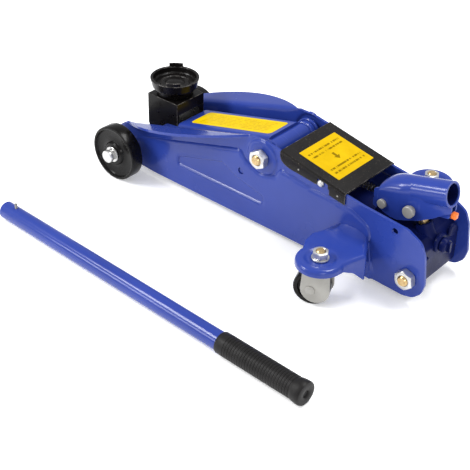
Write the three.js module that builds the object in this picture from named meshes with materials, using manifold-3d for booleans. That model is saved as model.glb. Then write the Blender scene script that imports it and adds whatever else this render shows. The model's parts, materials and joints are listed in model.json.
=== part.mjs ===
// A 2 ton trolley jack with its pump handle lying beside it.
// Units are millimetres. While it is being built, x runs from the front axle back to the handle
// socket, y across the jack (left side negative) and z up from the floor. The finished group is
// then moved so that its origin is the middle of the bottom of its bounding box.

import * as THREE from "three";
import { mergeVertices } from "three/addons/utils/BufferGeometryUtils.js";
import Module from "manifold-3d";

const wasm = await Module();
wasm.setup();

// ---- Driving dimensions ----

const GAP = 0.3; // between pieces that touch
const ROUND = 16; // facets of a medium circle
const SMALL = 8; // facets of a small circle that nothing turns in
const LARGE = 24; // facets of a large circle
const PAST = 10; // how far a cut runs past the faces it goes through

const PLATE_OUT = 44; // outer face of a side plate
const PLATE_IN = 41; // inner face of a side plate
const INSIDE = PLATE_IN - GAP; // half the width left between the plates

const AXLE = { x: 0, z: 34.5, r: 6, end: 90 };
const WHEEL = { r: 34.5, inner: 62, outer: 79 };

const LIFT = { x: 206, z: 98 }; // lift shaft
const HEAD = { x: 46, z: 60 }; // pin between lift arm and saddle bracket
const LINK_REAR = { x: 177, z: 69 }; // fixed end of the levelling links
const LINK_FRONT = { x: 17, z: 31 }; // saddle bracket end of the levelling links
const SHAFT = { r: 8, thread: 6 };
const LINK = { pin: 4, end: 7, half: 5, inner: 15.7, outer: 19.5 };
const HEAD_PIN = { r: 5, clip: 7.5 };

const REAR_BOLT = { x: 406.7, z: 33, r: 6 };
const NUT = { flats: 20, thick: 8.7, standOut: 2.7 };
const BOSS = { r: 19, high: 2 }; // the raised ring round the lift shaft

const SADDLE = { x: 30, r: 30, base: 100.4, rim: 121, deep: 8, stem: 8, tab: 4.3, tabWide: 17, tabAt: 130 };
const BRACKET = { front: 7, rear: 56, half: 23.5, top: 100, wall: 3.5 };

const RAM = { z: 52.2, r: 8.8, eyeFront: 222, eyeRear: 250, eyeHalf: 8.4, eyeHigh: 15, rodEnd: 330 };
const CYLINDER = { front: 263.3, rear: 344.5, r: 14, boreEnd: 338 };
const LEVER = { reach: 50, angle: 34, pin: 5.5, inner: 9.5, outer: 14 };

const COVER = { front: 231.8, rear: 321, top: 117.1, slope: -0.2, half: 45.8, sheet: 1.5 };

const PUMP = { x: 350, z: 88, bolt: 4 }; // socket pivot
const PLUNGER = { x: 383.6, z: 92.5, lean: 27.6, r: 5.5, length: 37, pin: 5 };
const SOCKET = { mouthX: 421.7, mouthZ: 121.8, rise: 15, r: 14.5, bore: 11.5, cheekIn: 13, cheekOut: 17 };

const CASTER = { x: 337, y: 105, r: 20, half: 7.5, trail: 6, yaw: 22, bolt: 5, axle: 3.5 };
const EAR = { top: 57, r: 26.5, rim: 7, skin: 3, rear: 371 };

const VALVE = { y: 2, z: 57, stem: 5, boss: 11, knob: 8 };

const HANDLE = {
  front: [-27.5, -224.5],
  rear: [426.5, -239],
  r: 10.5,
  wall: 1.5,
  gripR: 12.2,
  gripLength: 110,
  rise: 2.7, // the grip is thicker than the tube, so its end lies higher
  pinAt: 20,
  pinR: 1.6,
};

// ---- Materials ----

function finish(color, roughness, metalness) {
  return new THREE.MeshStandardMaterial({ color, roughness, metalness });
}

const bluePaint = finish(0x2c3fa6, 0.25, 0.3);
const blackPaint = finish(0x15161a, 0.35, 0.2);
const zinc = finish(0xc9ccd0, 0.3, 1);
const yellowZinc = finish(0xb9985a, 0.35, 1);
const steel = finish(0x8d9095, 0.4, 1);
const wheelBlack = finish(0x1b1b1e, 0.5, 0);
const rubber = finish(0x141414, 0.8, 0);
const orange = finish(0xf0602a, 0.4, 0);

// ---- Solid helpers ----

const jack = new THREE.Group();

function solid(geometry) {
  const bare = geometry.clone();
  bare.deleteAttribute("normal");
  bare.deleteAttribute("uv");
  const merged = mergeVertices(bare, 1e-4);
  return new wasm.Manifold(
    new wasm.Mesh({
      numProp: 3,
      vertProperties: new Float32Array(merged.attributes.position.array),
      triVerts: new Uint32Array(merged.index.array),
    }),
  );
}

function geometryOf(manifold) {
  const mesh = manifold.getMesh();
  const positions = new Float32Array(mesh.numVert * 3);
  for (let i = 0; i < mesh.numVert; i++) {
    const start = i * mesh.numProp;
    positions.set(mesh.vertProperties.subarray(start, start + 3), i * 3);
  }
  const geometry = new THREE.BufferGeometry();
  geometry.setAttribute("position", new THREE.BufferAttribute(positions, 3));
  geometry.setIndex(new THREE.BufferAttribute(new Uint32Array(mesh.triVerts), 1));
  geometry.computeVertexNormals();
  return geometry;
}

function piece(name, manifold, material, parent = jack) {
  const mesh = new THREE.Mesh(geometryOf(manifold), material);
  mesh.name = name;
  parent.add(mesh);
  return mesh;
}

// The right-hand piece, and its mirror image on the left.
function pair(name, manifold, material) {
  piece(`${name}_right`, manifold, material);
  piece(`${name}_left`, manifold, material).scale.y = -1;
}

function union(...solids) {
  return solids.reduce((a, b) => a.add(b));
}

// A round bar, or a cone, between two points.
function bar(from, to, radius, facets = ROUND, endRadius = radius) {
  const start = new THREE.Vector3(...from);
  const end = new THREE.Vector3(...to);
  const along = end.clone().sub(start);
  const geometry = new THREE.CylinderGeometry(endRadius, radius, along.length(), facets);
  const turn = new THREE.Quaternion().setFromUnitVectors(THREE.Object3D.DEFAULT_UP, along.normalize());
  geometry.applyQuaternion(turn);
  geometry.translate(...start.add(end).multiplyScalar(0.5).toArray());
  return solid(geometry);
}

// A round bar across the jack at x, z.
function crossBar(at, y0, y1, radius, facets = ROUND) {
  return bar([at.x, y0, at.z], [at.x, y1, at.z], radius, facets);
}

function ring(at, y0, y1, outer, inner, facets = ROUND) {
  return crossBar(at, y0, y1, outer, facets).subtract(crossBar(at, y0 - 1, y1 + 1, inner, facets));
}

function hexNut(at, y0, y1, flats, bore) {
  return crossBar(at, y0, y1, flats / Math.sqrt(3), 6).subtract(crossBar(at, y0 - 1, y1 + 1, bore));
}

function block(x0, x1, y0, y1, z0, z1) {
  const geometry = new THREE.BoxGeometry(x1 - x0, y1 - y0, z1 - z0);
  geometry.translate((x0 + x1) / 2, (y0 + y1) / 2, (z0 + z1) / 2);
  return solid(geometry);
}

function polygon(points) {
  return new THREE.Shape(points.map(([a, b]) => new THREE.Vector2(a, b)));
}

// A shape drawn in x and z, as thick as y0 to y1.
function sheetXZ(shape, y0, y1, curveSegments = 8) {
  const depth = y1 - y0;
  const geometry = new THREE.ExtrudeGeometry(shape, { depth, bevelEnabled: false, curveSegments });
  geometry.rotateX(Math.PI / 2);
  geometry.translate(0, y1, 0);
  return solid(geometry);
}

// A shape drawn in x and y, as thick as z0 to z1.
function sheetXY(shape, z0, z1, curveSegments = 8) {
  const depth = z1 - z0;
  const geometry = new THREE.ExtrudeGeometry(shape, { depth, bevelEnabled: false, curveSegments });
  geometry.translate(0, 0, z0);
  return solid(geometry);
}

// A flat bar in x and z with round ends at a and b.
function link(a, b, radius, y0, y1) {
  const slope = Math.atan2(b.z - a.z, b.x - a.x);
  const quarter = Math.PI / 2;
  const shape = new THREE.Shape();
  shape.absarc(a.x, a.z, radius, slope + quarter, slope + 3 * quarter, false);
  shape.absarc(b.x, b.z, radius, slope - quarter, slope + quarter, false);
  return sheetXZ(shape, y0, y1);
}

// A turned piece: its profile is pairs of radius and height, anticlockwise, and its axis starts at base.
function turned(profile, base, axis, facets = ROUND) {
  const geometry = new THREE.LatheGeometry(
    profile.map(([r, h]) => new THREE.Vector2(r, h)),
    facets,
  );
  const turn = new THREE.Quaternion().setFromUnitVectors(
    THREE.Object3D.DEFAULT_UP,
    new THREE.Vector3(...axis),
  );
  geometry.applyQuaternion(turn);
  geometry.translate(...base);
  return solid(geometry);
}

// ---- Frame: side plates, cover and fasteners ----

const FLANGE = { front: -11, rear: 188, sag: 27, slope: 0.289, rise: 64.8, tilt: 0.12, thick: 3 };

function flangeTop(x) {
  return FLANGE.rise + FLANGE.slope * x;
}

function coverTop(x) {
  return COVER.top + COVER.slope * (x - COVER.front);
}

function sideOutline() {
  const noseR = 28.5;
  const underCover = COVER.sheet + 2 * GAP;
  const shape = polygon([
    [14.25, 10],
    [354, 10],
    [403, 8],
    [416, 11],
    [424, 20],
    [428, 31],
    [424, 64],
    [418.7, 76],
    [405.7, 86],
    [392, 89.5],
    [345, 94],
    [COVER.rear, coverTop(COVER.rear) - underCover],
    [COVER.front, coverTop(COVER.front) - underCover],
    [FLANGE.rear, flangeTop(FLANGE.rear)],
    [FLANGE.front, flangeTop(FLANGE.front)],
  ]);
  const noseStart = Math.atan2(flangeTop(FLANGE.front) - AXLE.z, FLANGE.front - AXLE.x);
  shape.absarc(AXLE.x, AXLE.z, noseR, noseStart, (5 * Math.PI) / 3, false);
  return shape;
}

// The crescent turned outwards along the front half of a plate's top edge.
function flange() {
  const half = (FLANGE.rear - FLANGE.front) / 2;
  const radius = (half ** 2 + FLANGE.sag ** 2) / (2 * FLANGE.sag);
  const centreX = FLANGE.front + half;
  const centreY = PLATE_OUT + FLANGE.sag - radius;
  const reach = Math.asin(half / radius);
  const shape = new THREE.Shape();
  shape.moveTo(FLANGE.front, PLATE_IN);
  shape.lineTo(FLANGE.rear, PLATE_IN);
  shape.absarc(centreX, centreY, radius, Math.PI / 2 - reach, Math.PI / 2 + reach, false);
  const geometry = new THREE.ExtrudeGeometry(shape, {
    depth: FLANGE.thick,
    bevelEnabled: false,
    curveSegments: 18,
  });
  const lift = FLANGE.rise - FLANGE.thick - FLANGE.tilt * PLATE_OUT;
  geometry.applyMatrix4(
    new THREE.Matrix4().set(1, 0, 0, 0, 0, 1, 0, 0, FLANGE.slope, FLANGE.tilt, 1, lift, 0, 0, 0, 1),
  );
  return solid(geometry);
}

const SCREW = { x: 288, z: 98.6, head: 4.2, shank: 2.4, tip: 36 };
const PLATE_HOLE = { x: 385, z: 81, r: 4 };

function sidePlates() {
  const holes = [
    [AXLE, AXLE.r + GAP, ROUND],
    [LIFT, SHAFT.r + GAP, ROUND],
    [LINK_REAR, LINK.pin + GAP, SMALL],
    [REAR_BOLT, REAR_BOLT.r + GAP, ROUND],
    [SCREW, SCREW.shank + GAP, SMALL],
    [PLATE_HOLE, PLATE_HOLE.r, SMALL],
  ].map(([at, r, facets]) => crossBar(at, PLATE_IN - PAST, PLATE_OUT + PAST, r, facets));
  const body = union(
    sheetXZ(sideOutline(), PLATE_IN, PLATE_OUT, 16),
    flange(),
    crossBar(LIFT, PLATE_OUT - 1, PLATE_OUT + BOSS.high, BOSS.r),
  );
  pair("side_plate", body.subtract(union(...holes)), bluePaint);
}

function frontAxle() {
  piece("front_axle", crossBar(AXLE, -AXLE.end, AXLE.end, AXLE.r), zinc);
  const bore = AXLE.r + GAP;
  const spacerR = 9;
  pair("axle_spacer", ring(AXLE, PLATE_OUT + GAP, WHEEL.inner - GAP, spacerR, bore), steel);
  const washer = { r: 9.8, start: WHEEL.outer + GAP, end: WHEEL.outer + GAP + 2 };
  pair("axle_washer", ring(AXLE, washer.start, washer.end, washer.r, bore), zinc);
  const cap = { r: 8, start: AXLE.end - 5.5 };
  pair("axle_cap", ring(AXLE, cap.start, AXLE.end, cap.r, bore), zinc);
}

function shaftAndBolt() {
  const shoulder = PLATE_OUT + BOSS.high;
  const shaftEnd = shoulder + NUT.thick + NUT.standOut;
  const shaft = union(
    crossBar(LIFT, -shoulder, shoulder, SHAFT.r),
    crossBar(LIFT, -shaftEnd, shaftEnd, SHAFT.thread),
  );
  piece("lift_shaft", shaft, yellowZinc);
  const nutStart = shoulder + GAP;
  const bore = SHAFT.thread + GAP;
  pair("lift_shaft_nut", hexNut(LIFT, nutStart, nutStart + NUT.thick, NUT.flats, bore), zinc);
  const boltEnd = PLATE_OUT + NUT.thick + NUT.standOut;
  piece("rear_bolt", crossBar(REAR_BOLT, -boltEnd, boltEnd, REAR_BOLT.r), yellowZinc);
  const rearStart = PLATE_OUT + GAP;
  pair("rear_nut", hexNut(REAR_BOLT, rearStart, rearStart + NUT.thick, NUT.flats, bore), zinc);
}

function linkAnchors() {
  const pinStart = LINK.inner - 2 * GAP;
  const pinEnd = PLATE_OUT + 0.5;
  pair("link_anchor_pin", crossBar(LINK_REAR, pinStart, pinEnd, LINK.pin, SMALL), steel);
}

function coverPlate() {
  const flapTop = coverTop(COVER.front);
  const flap = polygon([
    [COVER.front, flapTop],
    [233, 110.5],
    [240, 101],
    [254, 99.2],
    [282, 95.5],
    [284.2, 103.4],
    [291.8, 103.4],
    [294, 95],
    [299.5, 95.5],
    [301, 89.6],
    [COVER.rear - 1, 86],
    [COVER.rear, coverTop(COVER.rear)],
  ]);
  const top = polygon([
    [COVER.front, flapTop],
    [COVER.front, flapTop - COVER.sheet],
    [COVER.rear, coverTop(COVER.rear) - COVER.sheet],
    [COVER.rear, coverTop(COVER.rear)],
  ]);
  const inner = COVER.half - COVER.sheet;
  const cover = union(
    sheetXZ(top, -COVER.half, COVER.half),
    sheetXZ(flap, inner, COVER.half),
    sheetXZ(flap, -COVER.half, -inner),
  );
  piece("cover_plate", cover, blackPaint);
  const screw = union(
    turned(
      [[0, 0], [SCREW.head, 0], [SCREW.head - 0.7, 1.6], [1.8, 2.7], [0, 2.9]],
      [SCREW.x, PLATE_OUT + GAP, SCREW.z],
      [0, 1, 0],
      SMALL,
    ),
    crossBar(SCREW, SCREW.tip, PLATE_OUT + 1, SCREW.shank, SMALL),
  );
  pair("cover_screw", screw, zinc);
}

// ---- Hydraulic power unit ----

const TANK = { front: 258, rear: 339.7, r: 25.5, bore: 22.5 };
const FILLER = { x: 300, r: 4, head: 6 };

// A point on the plunger's axis, the given distance below its pin.
function onPlunger(distance, y = 0) {
  const lean = THREE.MathUtils.degToRad(PLUNGER.lean);
  return [PLUNGER.x + distance * Math.sin(lean), y, PLUNGER.z - distance * Math.cos(lean)];
}

// Round bars on the ram's axis and on the release valve's axis.
function alongRam(x0, x1, radius, facets = ROUND) {
  return bar([x0, 0, RAM.z], [x1, 0, RAM.z], radius, facets);
}

const VALVE_STEM_START = 408;

function alongValve(x0, x1, radius, facets = ROUND, endRadius = radius) {
  return bar([x0, VALVE.y, VALVE.z], [x1, VALVE.y, VALVE.z], radius, facets, endRadius);
}

function powerUnit() {
  const blockTop = 66;
  const blockRear = 413;
  const lugHalf = 12.5;
  const casting = polygon([
    [340, 13],
    [348, 10],
    [408, 10],
    [blockRear, 16],
    [blockRear, 58],
    [404, blockTop],
    [340, blockTop],
  ]);
  const lug = link(PUMP, { x: PUMP.x, z: blockTop - 2 }, 9, -lugHalf, lugHalf);
  const barrel = bar(onPlunger(19.5), onPlunger(42), 10);
  const valveBoss = alongValve(blockRear - 1, blockRear + 3.5, VALVE.boss);
  const body = union(sheetXZ(casting, -INSIDE, INSIDE), lug, barrel, valveBoss);
  const cuts = [
    bar(onPlunger(PAST), onPlunger(PLUNGER.length + 1), PLUNGER.r + GAP),
    crossBar(PUMP, -lugHalf - PAST, lugHalf + PAST, PUMP.bolt + GAP),
    crossBar(REAR_BOLT, -INSIDE - PAST, INSIDE + PAST, REAR_BOLT.r + GAP),
    alongValve(VALVE_STEM_START - 0.5, blockRear + PAST, VALVE.stem + GAP),
    alongRam(CYLINDER.rear - PAST, CYLINDER.rear + 0.5, CYLINDER.r + GAP),
  ];
  piece("power_unit_base", body.subtract(union(...cuts)), bluePaint);
}

function reservoir() {
  const tank = alongRam(TANK.front, TANK.rear, TANK.r, LARGE);
  const hollow = alongRam(TANK.front - PAST, TANK.rear + PAST, TANK.bore, LARGE);
  const tankTop = RAM.z + TANK.r;
  const upright = (z0, z1, r) => bar([FILLER.x, 0, z0], [FILLER.x, 0, z1], r, SMALL);
  const fillerHole = upright(tankTop - PAST, tankTop + PAST, FILLER.r + GAP);
  piece("reservoir_tube", tank.subtract(hollow).subtract(fillerHole), bluePaint);
  const stem = upright(tankTop - 5, tankTop + 1, FILLER.r);
  const head = upright(tankTop + 0.6, tankTop + 4.3, FILLER.head);
  piece("filler_plug", stem.add(head), rubber);
  const glandEnd = CYLINDER.front - GAP;
  const gland = union(
    alongRam(TANK.front - 7, TANK.front - GAP, TANK.r, LARGE),
    alongRam(TANK.front - 1, glandEnd, TANK.bore - GAP, LARGE),
  );
  piece("ram_gland", gland.subtract(alongRam(TANK.front - 7 - PAST, glandEnd + PAST, RAM.r + GAP)), steel);
  const cylinder = alongRam(CYLINDER.front, CYLINDER.rear, CYLINDER.r);
  const bore = alongRam(CYLINDER.front - PAST, CYLINDER.boreEnd, RAM.r + GAP);
  piece("hydraulic_cylinder", cylinder.subtract(bore), steel);
}

function ramRod() {
  const slotHalf = LEVER.pin + 1.4;
  const slotHigh = 10.9;
  const low = RAM.z - RAM.eyeHigh;
  const high = RAM.z + RAM.eyeHigh;
  const eye = block(RAM.eyeFront, RAM.eyeRear, -RAM.eyeHalf, RAM.eyeHalf, low, high);
  const pinX = leverPin().x;
  const slotLow = { x: pinX, z: RAM.z - slotHigh + slotHalf };
  const slotTop = { x: pinX, z: RAM.z + slotHigh - slotHalf };
  const across = RAM.eyeHalf + PAST;
  const slot = link(slotLow, slotTop, slotHalf, -across, across);
  const rod = alongRam(RAM.eyeRear - 3, RAM.rodEnd, RAM.r);
  piece("ram_rod", eye.subtract(slot).add(rod), zinc);
}

function releaseValve() {
  const knobStart = 417;
  const knobEnd = 424;
  const wingHalf = 6.5;
  const spindle = alongValve(VALVE_STEM_START, knobStart + 1, VALVE.stem, SMALL);
  const knob = alongValve(knobStart, knobEnd, VALVE.knob, ROUND, VALVE.knob - 0.6);
  const wing = block(
    knobEnd - 1,
    knobEnd + 3.5,
    VALVE.y - 2,
    VALVE.y + 2,
    VALVE.z - wingHalf,
    VALVE.z + wingHalf,
  );
  piece("release_valve", union(spindle, knob, wing), bluePaint);
}

// ---- Lift arm, levelling links and saddle ----

function leverPin() {
  const angle = THREE.MathUtils.degToRad(LEVER.angle);
  return { x: LIFT.x + LEVER.reach * Math.sin(angle), z: LIFT.z - LEVER.reach * Math.cos(angle) };
}

const ARM = { inner: 24.3, outer: 28, tube: 13, topFront: 60, topAt72: 80.5, topSlope: 0.2567, skin: 4 };
const SPRING = { y: 34, r: 5.5, frontX: 222, frontZ: 71, rearX: 338.5, rearZ: 60 };

function armTop(x) {
  return ARM.topAt72 + ARM.topSlope * (x - 72);
}

function armCheek(y0, y1) {
  const shape = new THREE.Shape();
  shape.moveTo(HEAD.x + 4, HEAD.z - 10);
  shape.lineTo(150, 70);
  shape.lineTo(LIFT.x + 2, LIFT.z - ARM.tube);
  shape.lineTo(LIFT.x + 5, LIFT.z + 5);
  shape.lineTo(198, armTop(198));
  shape.lineTo(ARM.topFront, armTop(ARM.topFront));
  shape.lineTo(HEAD.x + 3, HEAD.z + 11.5);
  shape.absarc(HEAD.x, HEAD.z, 11, Math.PI / 2, (3 * Math.PI) / 2, false);
  return sheetXZ(shape, y0, y1);
}

function liftArm() {
  const topSheet = polygon([
    [ARM.topFront, armTop(ARM.topFront)],
    [ARM.topFront + 1, armTop(ARM.topFront) - ARM.skin],
    [200, armTop(200) - ARM.skin - 6],
    [198, armTop(198)],
  ]);
  const pin = leverPin();
  const lever = (y0, y1) => link(LIFT, pin, 9.5, y0, y1);
  const springLug = (y0, y1) => link(LIFT, { x: 217, z: 72 }, 4, y0, y1);
  const body = union(
    armCheek(ARM.inner, ARM.outer),
    armCheek(-ARM.outer, -ARM.inner),
    sheetXZ(topSheet, -ARM.outer, ARM.outer),
    crossBar(LIFT, -INSIDE, INSIDE, ARM.tube),
    lever(LEVER.inner, LEVER.outer),
    lever(-LEVER.outer, -LEVER.inner),
    springLug(32, 36),
    springLug(-36, -32),
  );
  const cuts = [
    crossBar(LIFT, -INSIDE - PAST, INSIDE + PAST, SHAFT.r + GAP),
    crossBar(HEAD, -ARM.outer - PAST, ARM.outer + PAST, HEAD_PIN.r + GAP),
    crossBar(pin, -LEVER.outer - PAST, LEVER.outer + PAST, LEVER.pin + GAP, SMALL),
  ];
  piece("lift_arm", body.subtract(union(...cuts)), bluePaint);
  piece("lever_pin", crossBar(pin, -LEVER.outer - 2, LEVER.outer + 2, LEVER.pin, SMALL), steel);
}

function levellingLinks() {
  const rod = union(
    link(LINK_FRONT, LINK_REAR, LINK.half, LINK.inner, LINK.outer),
    crossBar(LINK_FRONT, LINK.inner, LINK.outer, LINK.end),
    crossBar(LINK_REAR, LINK.inner, LINK.outer, LINK.end),
  );
  const cutStart = LINK.inner - PAST;
  const cutEnd = LINK.outer + PAST;
  const looseFit = 1.4; // the links slide a little on their rear pins as they swing
  const holes = union(
    crossBar(LINK_FRONT, cutStart, cutEnd, LINK.pin + GAP),
    crossBar(LINK_REAR, cutStart, cutEnd, LINK.pin + looseFit),
  );
  pair("link_rod", rod.subtract(holes), steel);
}

function bracketWall(y0, y1) {
  const shape = polygon([
    [BRACKET.front, BRACKET.top],
    [BRACKET.front, 60],
    [9, 56],
    [9, 25],
    [13, 22.5],
    [22, 22.5],
    [27, 27],
    [36, 46],
    [48, 48],
    [BRACKET.rear, 55],
    [BRACKET.rear, BRACKET.top],
  ]);
  return sheetXZ(shape, y0, y1);
}

function saddleBracket() {
  const inner = BRACKET.half - BRACKET.wall;
  const body = union(
    bracketWall(inner, BRACKET.half),
    bracketWall(-BRACKET.half, -inner),
    block(BRACKET.front, BRACKET.front + BRACKET.wall, -inner - 1, inner + 1, 60, BRACKET.top),
    block(BRACKET.rear - BRACKET.wall, BRACKET.rear, -inner - 1, inner + 1, 85, BRACKET.top),
    block(BRACKET.front, BRACKET.rear, -inner - 1, inner + 1, BRACKET.top - 5, BRACKET.top),
  );
  const cuts = [
    crossBar(HEAD, -BRACKET.half - PAST, BRACKET.half + PAST, HEAD_PIN.r + GAP),
    crossBar(LINK_FRONT, -BRACKET.half - PAST, BRACKET.half + PAST, LINK.pin + GAP, SMALL),
    bar([SADDLE.x, 0, BRACKET.top - PAST], [SADDLE.x, 0, BRACKET.top + PAST], SADDLE.stem + GAP),
  ];
  piece("saddle_bracket", body.subtract(union(...cuts)), blackPaint);
  const clipStart = ARM.outer + GAP;
  const clipEnd = ARM.outer + 3;
  const pivotPin = union(
    crossBar(HEAD, -clipStart - 1, clipStart + 1, HEAD_PIN.r, SMALL),
    crossBar(HEAD, clipStart, clipEnd, HEAD_PIN.clip, SMALL),
    crossBar(HEAD, -clipEnd, -clipStart, HEAD_PIN.clip, SMALL),
  );
  piece("saddle_pivot_pin", pivotPin, steel);
  const frontPin = crossBar(LINK_FRONT, -BRACKET.half - 1, BRACKET.half + 1, LINK.pin, SMALL);
  piece("link_front_pin", frontPin, steel);
}

function saddle() {
  const base = SADDLE.base;
  const rim = SADDLE.rim - base;
  const floor = rim - SADDLE.deep;
  const profile = [
    [0, -9],
    [SADDLE.stem, -9],
    [SADDLE.stem, 0],
    [16, 0],
    [18, 4],
    [SADDLE.r - 3, 9.5],
    [SADDLE.r - 2, 11.3],
    [SADDLE.r, rim - 0.6],
    [SADDLE.r - 0.6, rim],
    [SADDLE.r - 3.6, rim],
    [SADDLE.r - 4.5, floor],
    [12, floor],
    [9.5, floor + 2.3],
    [0, floor + 3],
  ];
  const body = turned(profile, [SADDLE.x, 0, base], [0, 0, 1], LARGE);
  const tabs = [];
  const half = SADDLE.tabWide / 2;
  for (const turn of [SADDLE.tabAt, SADDLE.tabAt + 180]) {
    const tab = block(SADDLE.r - 3.7, SADDLE.r - 1.4, -half, half, SADDLE.rim - 1, SADDLE.rim + SADDLE.tab);
    tabs.push(tab.rotate([0, 0, turn]).translate([SADDLE.x, 0, 0]));
  }
  piece("saddle", union(body, ...tabs), blackPaint);
}

// A return spring as the closed outer shape of its coils.
function returnSprings() {
  const front = [SPRING.frontX, SPRING.y, SPRING.frontZ];
  const rear = [SPRING.rearX, SPRING.y, SPRING.rearZ];
  pair("return_spring", bar(front, rear, SPRING.r, 12), steel);
}

// ---- Wheels ----

function wheelProfile(r, bore, y0, y1, hub, web) {
  const lip = 0.8 * r;
  const edge = 0.045 * r;
  return [
    [bore, y0],
    [hub, y0],
    [hub + 1, y0 + web],
    [lip - 1.5, y0 + web],
    [lip, y0],
    [r - edge, y0],
    [r, y0 + edge],
    [r, y1 - edge],
    [r - edge, y1],
    [lip, y1],
    [lip - 1.5, y1 - web],
    [hub + 1, y1 - web],
    [hub, y1],
    [bore, y1],
    [bore, y0],
  ];
}

function frontWheels() {
  const profile = wheelProfile(WHEEL.r, AXLE.r + GAP, WHEEL.inner, WHEEL.outer, 12.5, 4);
  pair("front_wheel", turned(profile, [AXLE.x, 0, AXLE.z], [0, 1, 0], LARGE), wheelBlack);
}

// ---- Rear casters ----

const FORK = {
  top: 45.2,
  under: 42,
  cheekIn: 8.2,
  cheekOut: 10.7,
  cheekR: 17,
  plateR: 15,
  plateTop: 49,
  collarR: 11,
};

function earOutline(inset) {
  const r = EAR.r - inset;
  const wall = PLATE_OUT + GAP + inset;
  const shape = new THREE.Shape();
  shape.moveTo(308 + inset, wall);
  shape.lineTo(EAR.rear - inset, wall);
  shape.lineTo(EAR.rear - inset, 72);
  shape.lineTo(EAR.rear - 3 - inset, 87);
  shape.absarc(CASTER.x, CASTER.y, r, THREE.MathUtils.degToRad(-8), Math.PI, false);
  shape.lineTo(303 + inset, 86);
  shape.lineTo(301.5 + inset, 75);
  return shape;
}

// A round bar on the caster's swivel axis.
function onCaster(z0, z1, radius, facets = ROUND) {
  return bar([CASTER.x, CASTER.y, z0], [CASTER.x, CASTER.y, z1], radius, facets);
}

function casterBrackets() {
  const curve = 14;
  const shell = sheetXY(earOutline(0), EAR.top - EAR.rim, EAR.top, curve);
  const hollow = sheetXY(earOutline(EAR.skin), EAR.top - EAR.rim - PAST, EAR.top - EAR.skin, curve);
  const wallIn = PLATE_OUT + GAP;
  const wall = polygon([
    [308, EAR.top],
    [308, 40],
    [320, 26],
    [EAR.rear - 12, 18],
    [EAR.rear, 28],
    [EAR.rear, EAR.top],
  ]);
  // The rear rim deepens into a web that reaches the plate. It is drawn in y and z.
  const web = polygon([
    [wallIn, EAR.top - 1],
    [wallIn, 30],
    [62, 27],
    [75, 27],
    [79, 38],
    [82, EAR.top - EAR.rim],
    [82, EAR.top - 1],
  ]);
  const rearWeb = sheetXZ(web, -EAR.rear, EAR.skin - EAR.rear).rotate([0, 0, 90]);
  const bracket = union(
    shell.subtract(hollow),
    sheetXZ(wall, wallIn, wallIn + EAR.skin),
    rearWeb,
  );
  const hole = onCaster(EAR.top - EAR.rim - PAST, EAR.top + PAST, CASTER.bolt + GAP, SMALL);
  pair("caster_bracket", bracket.subtract(hole), bluePaint);
}

function casterBolts() {
  const nutTop = EAR.top + 9;
  pair("caster_bolt", onCaster(FORK.under + 0.5, nutTop + 2, CASTER.bolt, SMALL), yellowZinc);
  const washer = onCaster(EAR.top + GAP, EAR.top + 2, 9.5);
  const nut = onCaster(EAR.top + 1, nutTop, 9.5, 6);
  const hole = onCaster(EAR.top - PAST, nutTop + PAST, CASTER.bolt + GAP, SMALL);
  pair("caster_nut", union(washer, nut).subtract(hole), zinc);
}

// The caster stands turned by its yaw about its swivel axis.
function swung(manifold) {
  return manifold
    .translate([-CASTER.x, -CASTER.y, 0])
    .rotate([0, 0, -CASTER.yaw])
    .translate([CASTER.x, CASTER.y, 0]);
}

function casterForks() {
  const wheelX = CASTER.x - CASTER.trail;
  const cheek = (y0, y1) => {
    const shape = new THREE.Shape();
    shape.moveTo(CASTER.x + 13, FORK.top);
    shape.lineTo(CASTER.x - 15, FORK.top);
    shape.absarc(CASTER.x - 1, CASTER.r, FORK.cheekR, Math.PI, 2 * Math.PI, false);
    return sheetXZ(shape, y0, y1);
  };
  const y = CASTER.y;
  const body = union(
    cheek(y + FORK.cheekIn, y + FORK.cheekOut),
    cheek(y - FORK.cheekOut, y - FORK.cheekIn),
    block(CASTER.x - 15, CASTER.x + 13, y - FORK.cheekOut, y + FORK.cheekOut, FORK.under, FORK.top),
    onCaster(FORK.under, FORK.plateTop, FORK.plateR),
    onCaster(FORK.plateTop - 1, EAR.top - EAR.skin - GAP, FORK.collarR),
  );
  const axleAt = { x: wheelX, z: CASTER.r };
  const cuts = [
    onCaster(FORK.under - PAST, EAR.top + PAST, CASTER.bolt + GAP),
    crossBar(axleAt, y - FORK.cheekOut - PAST, y + FORK.cheekOut + PAST, CASTER.axle + GAP, SMALL),
  ];
  pair("caster_fork", swung(body.subtract(union(...cuts))), steel);
  const headIn = FORK.cheekOut + GAP;
  const headOut = headIn + 2.2;
  const headR = 5.5;
  const rivet = union(
    crossBar(axleAt, y - headIn - 1, y + headIn + 1, CASTER.axle, SMALL),
    crossBar(axleAt, y + headIn, y + headOut, headR, SMALL),
    crossBar(axleAt, y - headOut, y - headIn, headR, SMALL),
  );
  pair("caster_axle", swung(rivet), zinc);
  const profile = wheelProfile(CASTER.r, CASTER.axle + GAP, -CASTER.half, CASTER.half, 7, 3);
  const wheel = turned(profile, [wheelX, y, CASTER.r], [0, 1, 0], ROUND);
  pair("caster_wheel", swung(wheel), wheelBlack);
}

// ---- Handle socket and pump ----

// A point on the socket's axis at the given x.
function onSocket(x) {
  const slope = Math.tan(THREE.MathUtils.degToRad(SOCKET.rise));
  return [x, 0, SOCKET.mouthZ - (SOCKET.mouthX - x) * slope];
}

function socketCheek(y0, y1) {
  const shape = polygon([
    [340, 98],
    [344, 82],
    [361, 76],
    [378, 78.5],
    [395, 86],
    [408, 92],
    [423.5, 96],
    [423.5, 99],
    [414, 108],
    [420, 118],
    [356, 106],
    [345, 110],
    [340, 103],
  ]);
  return sheetXZ(shape, y0, y1);
}

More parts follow.
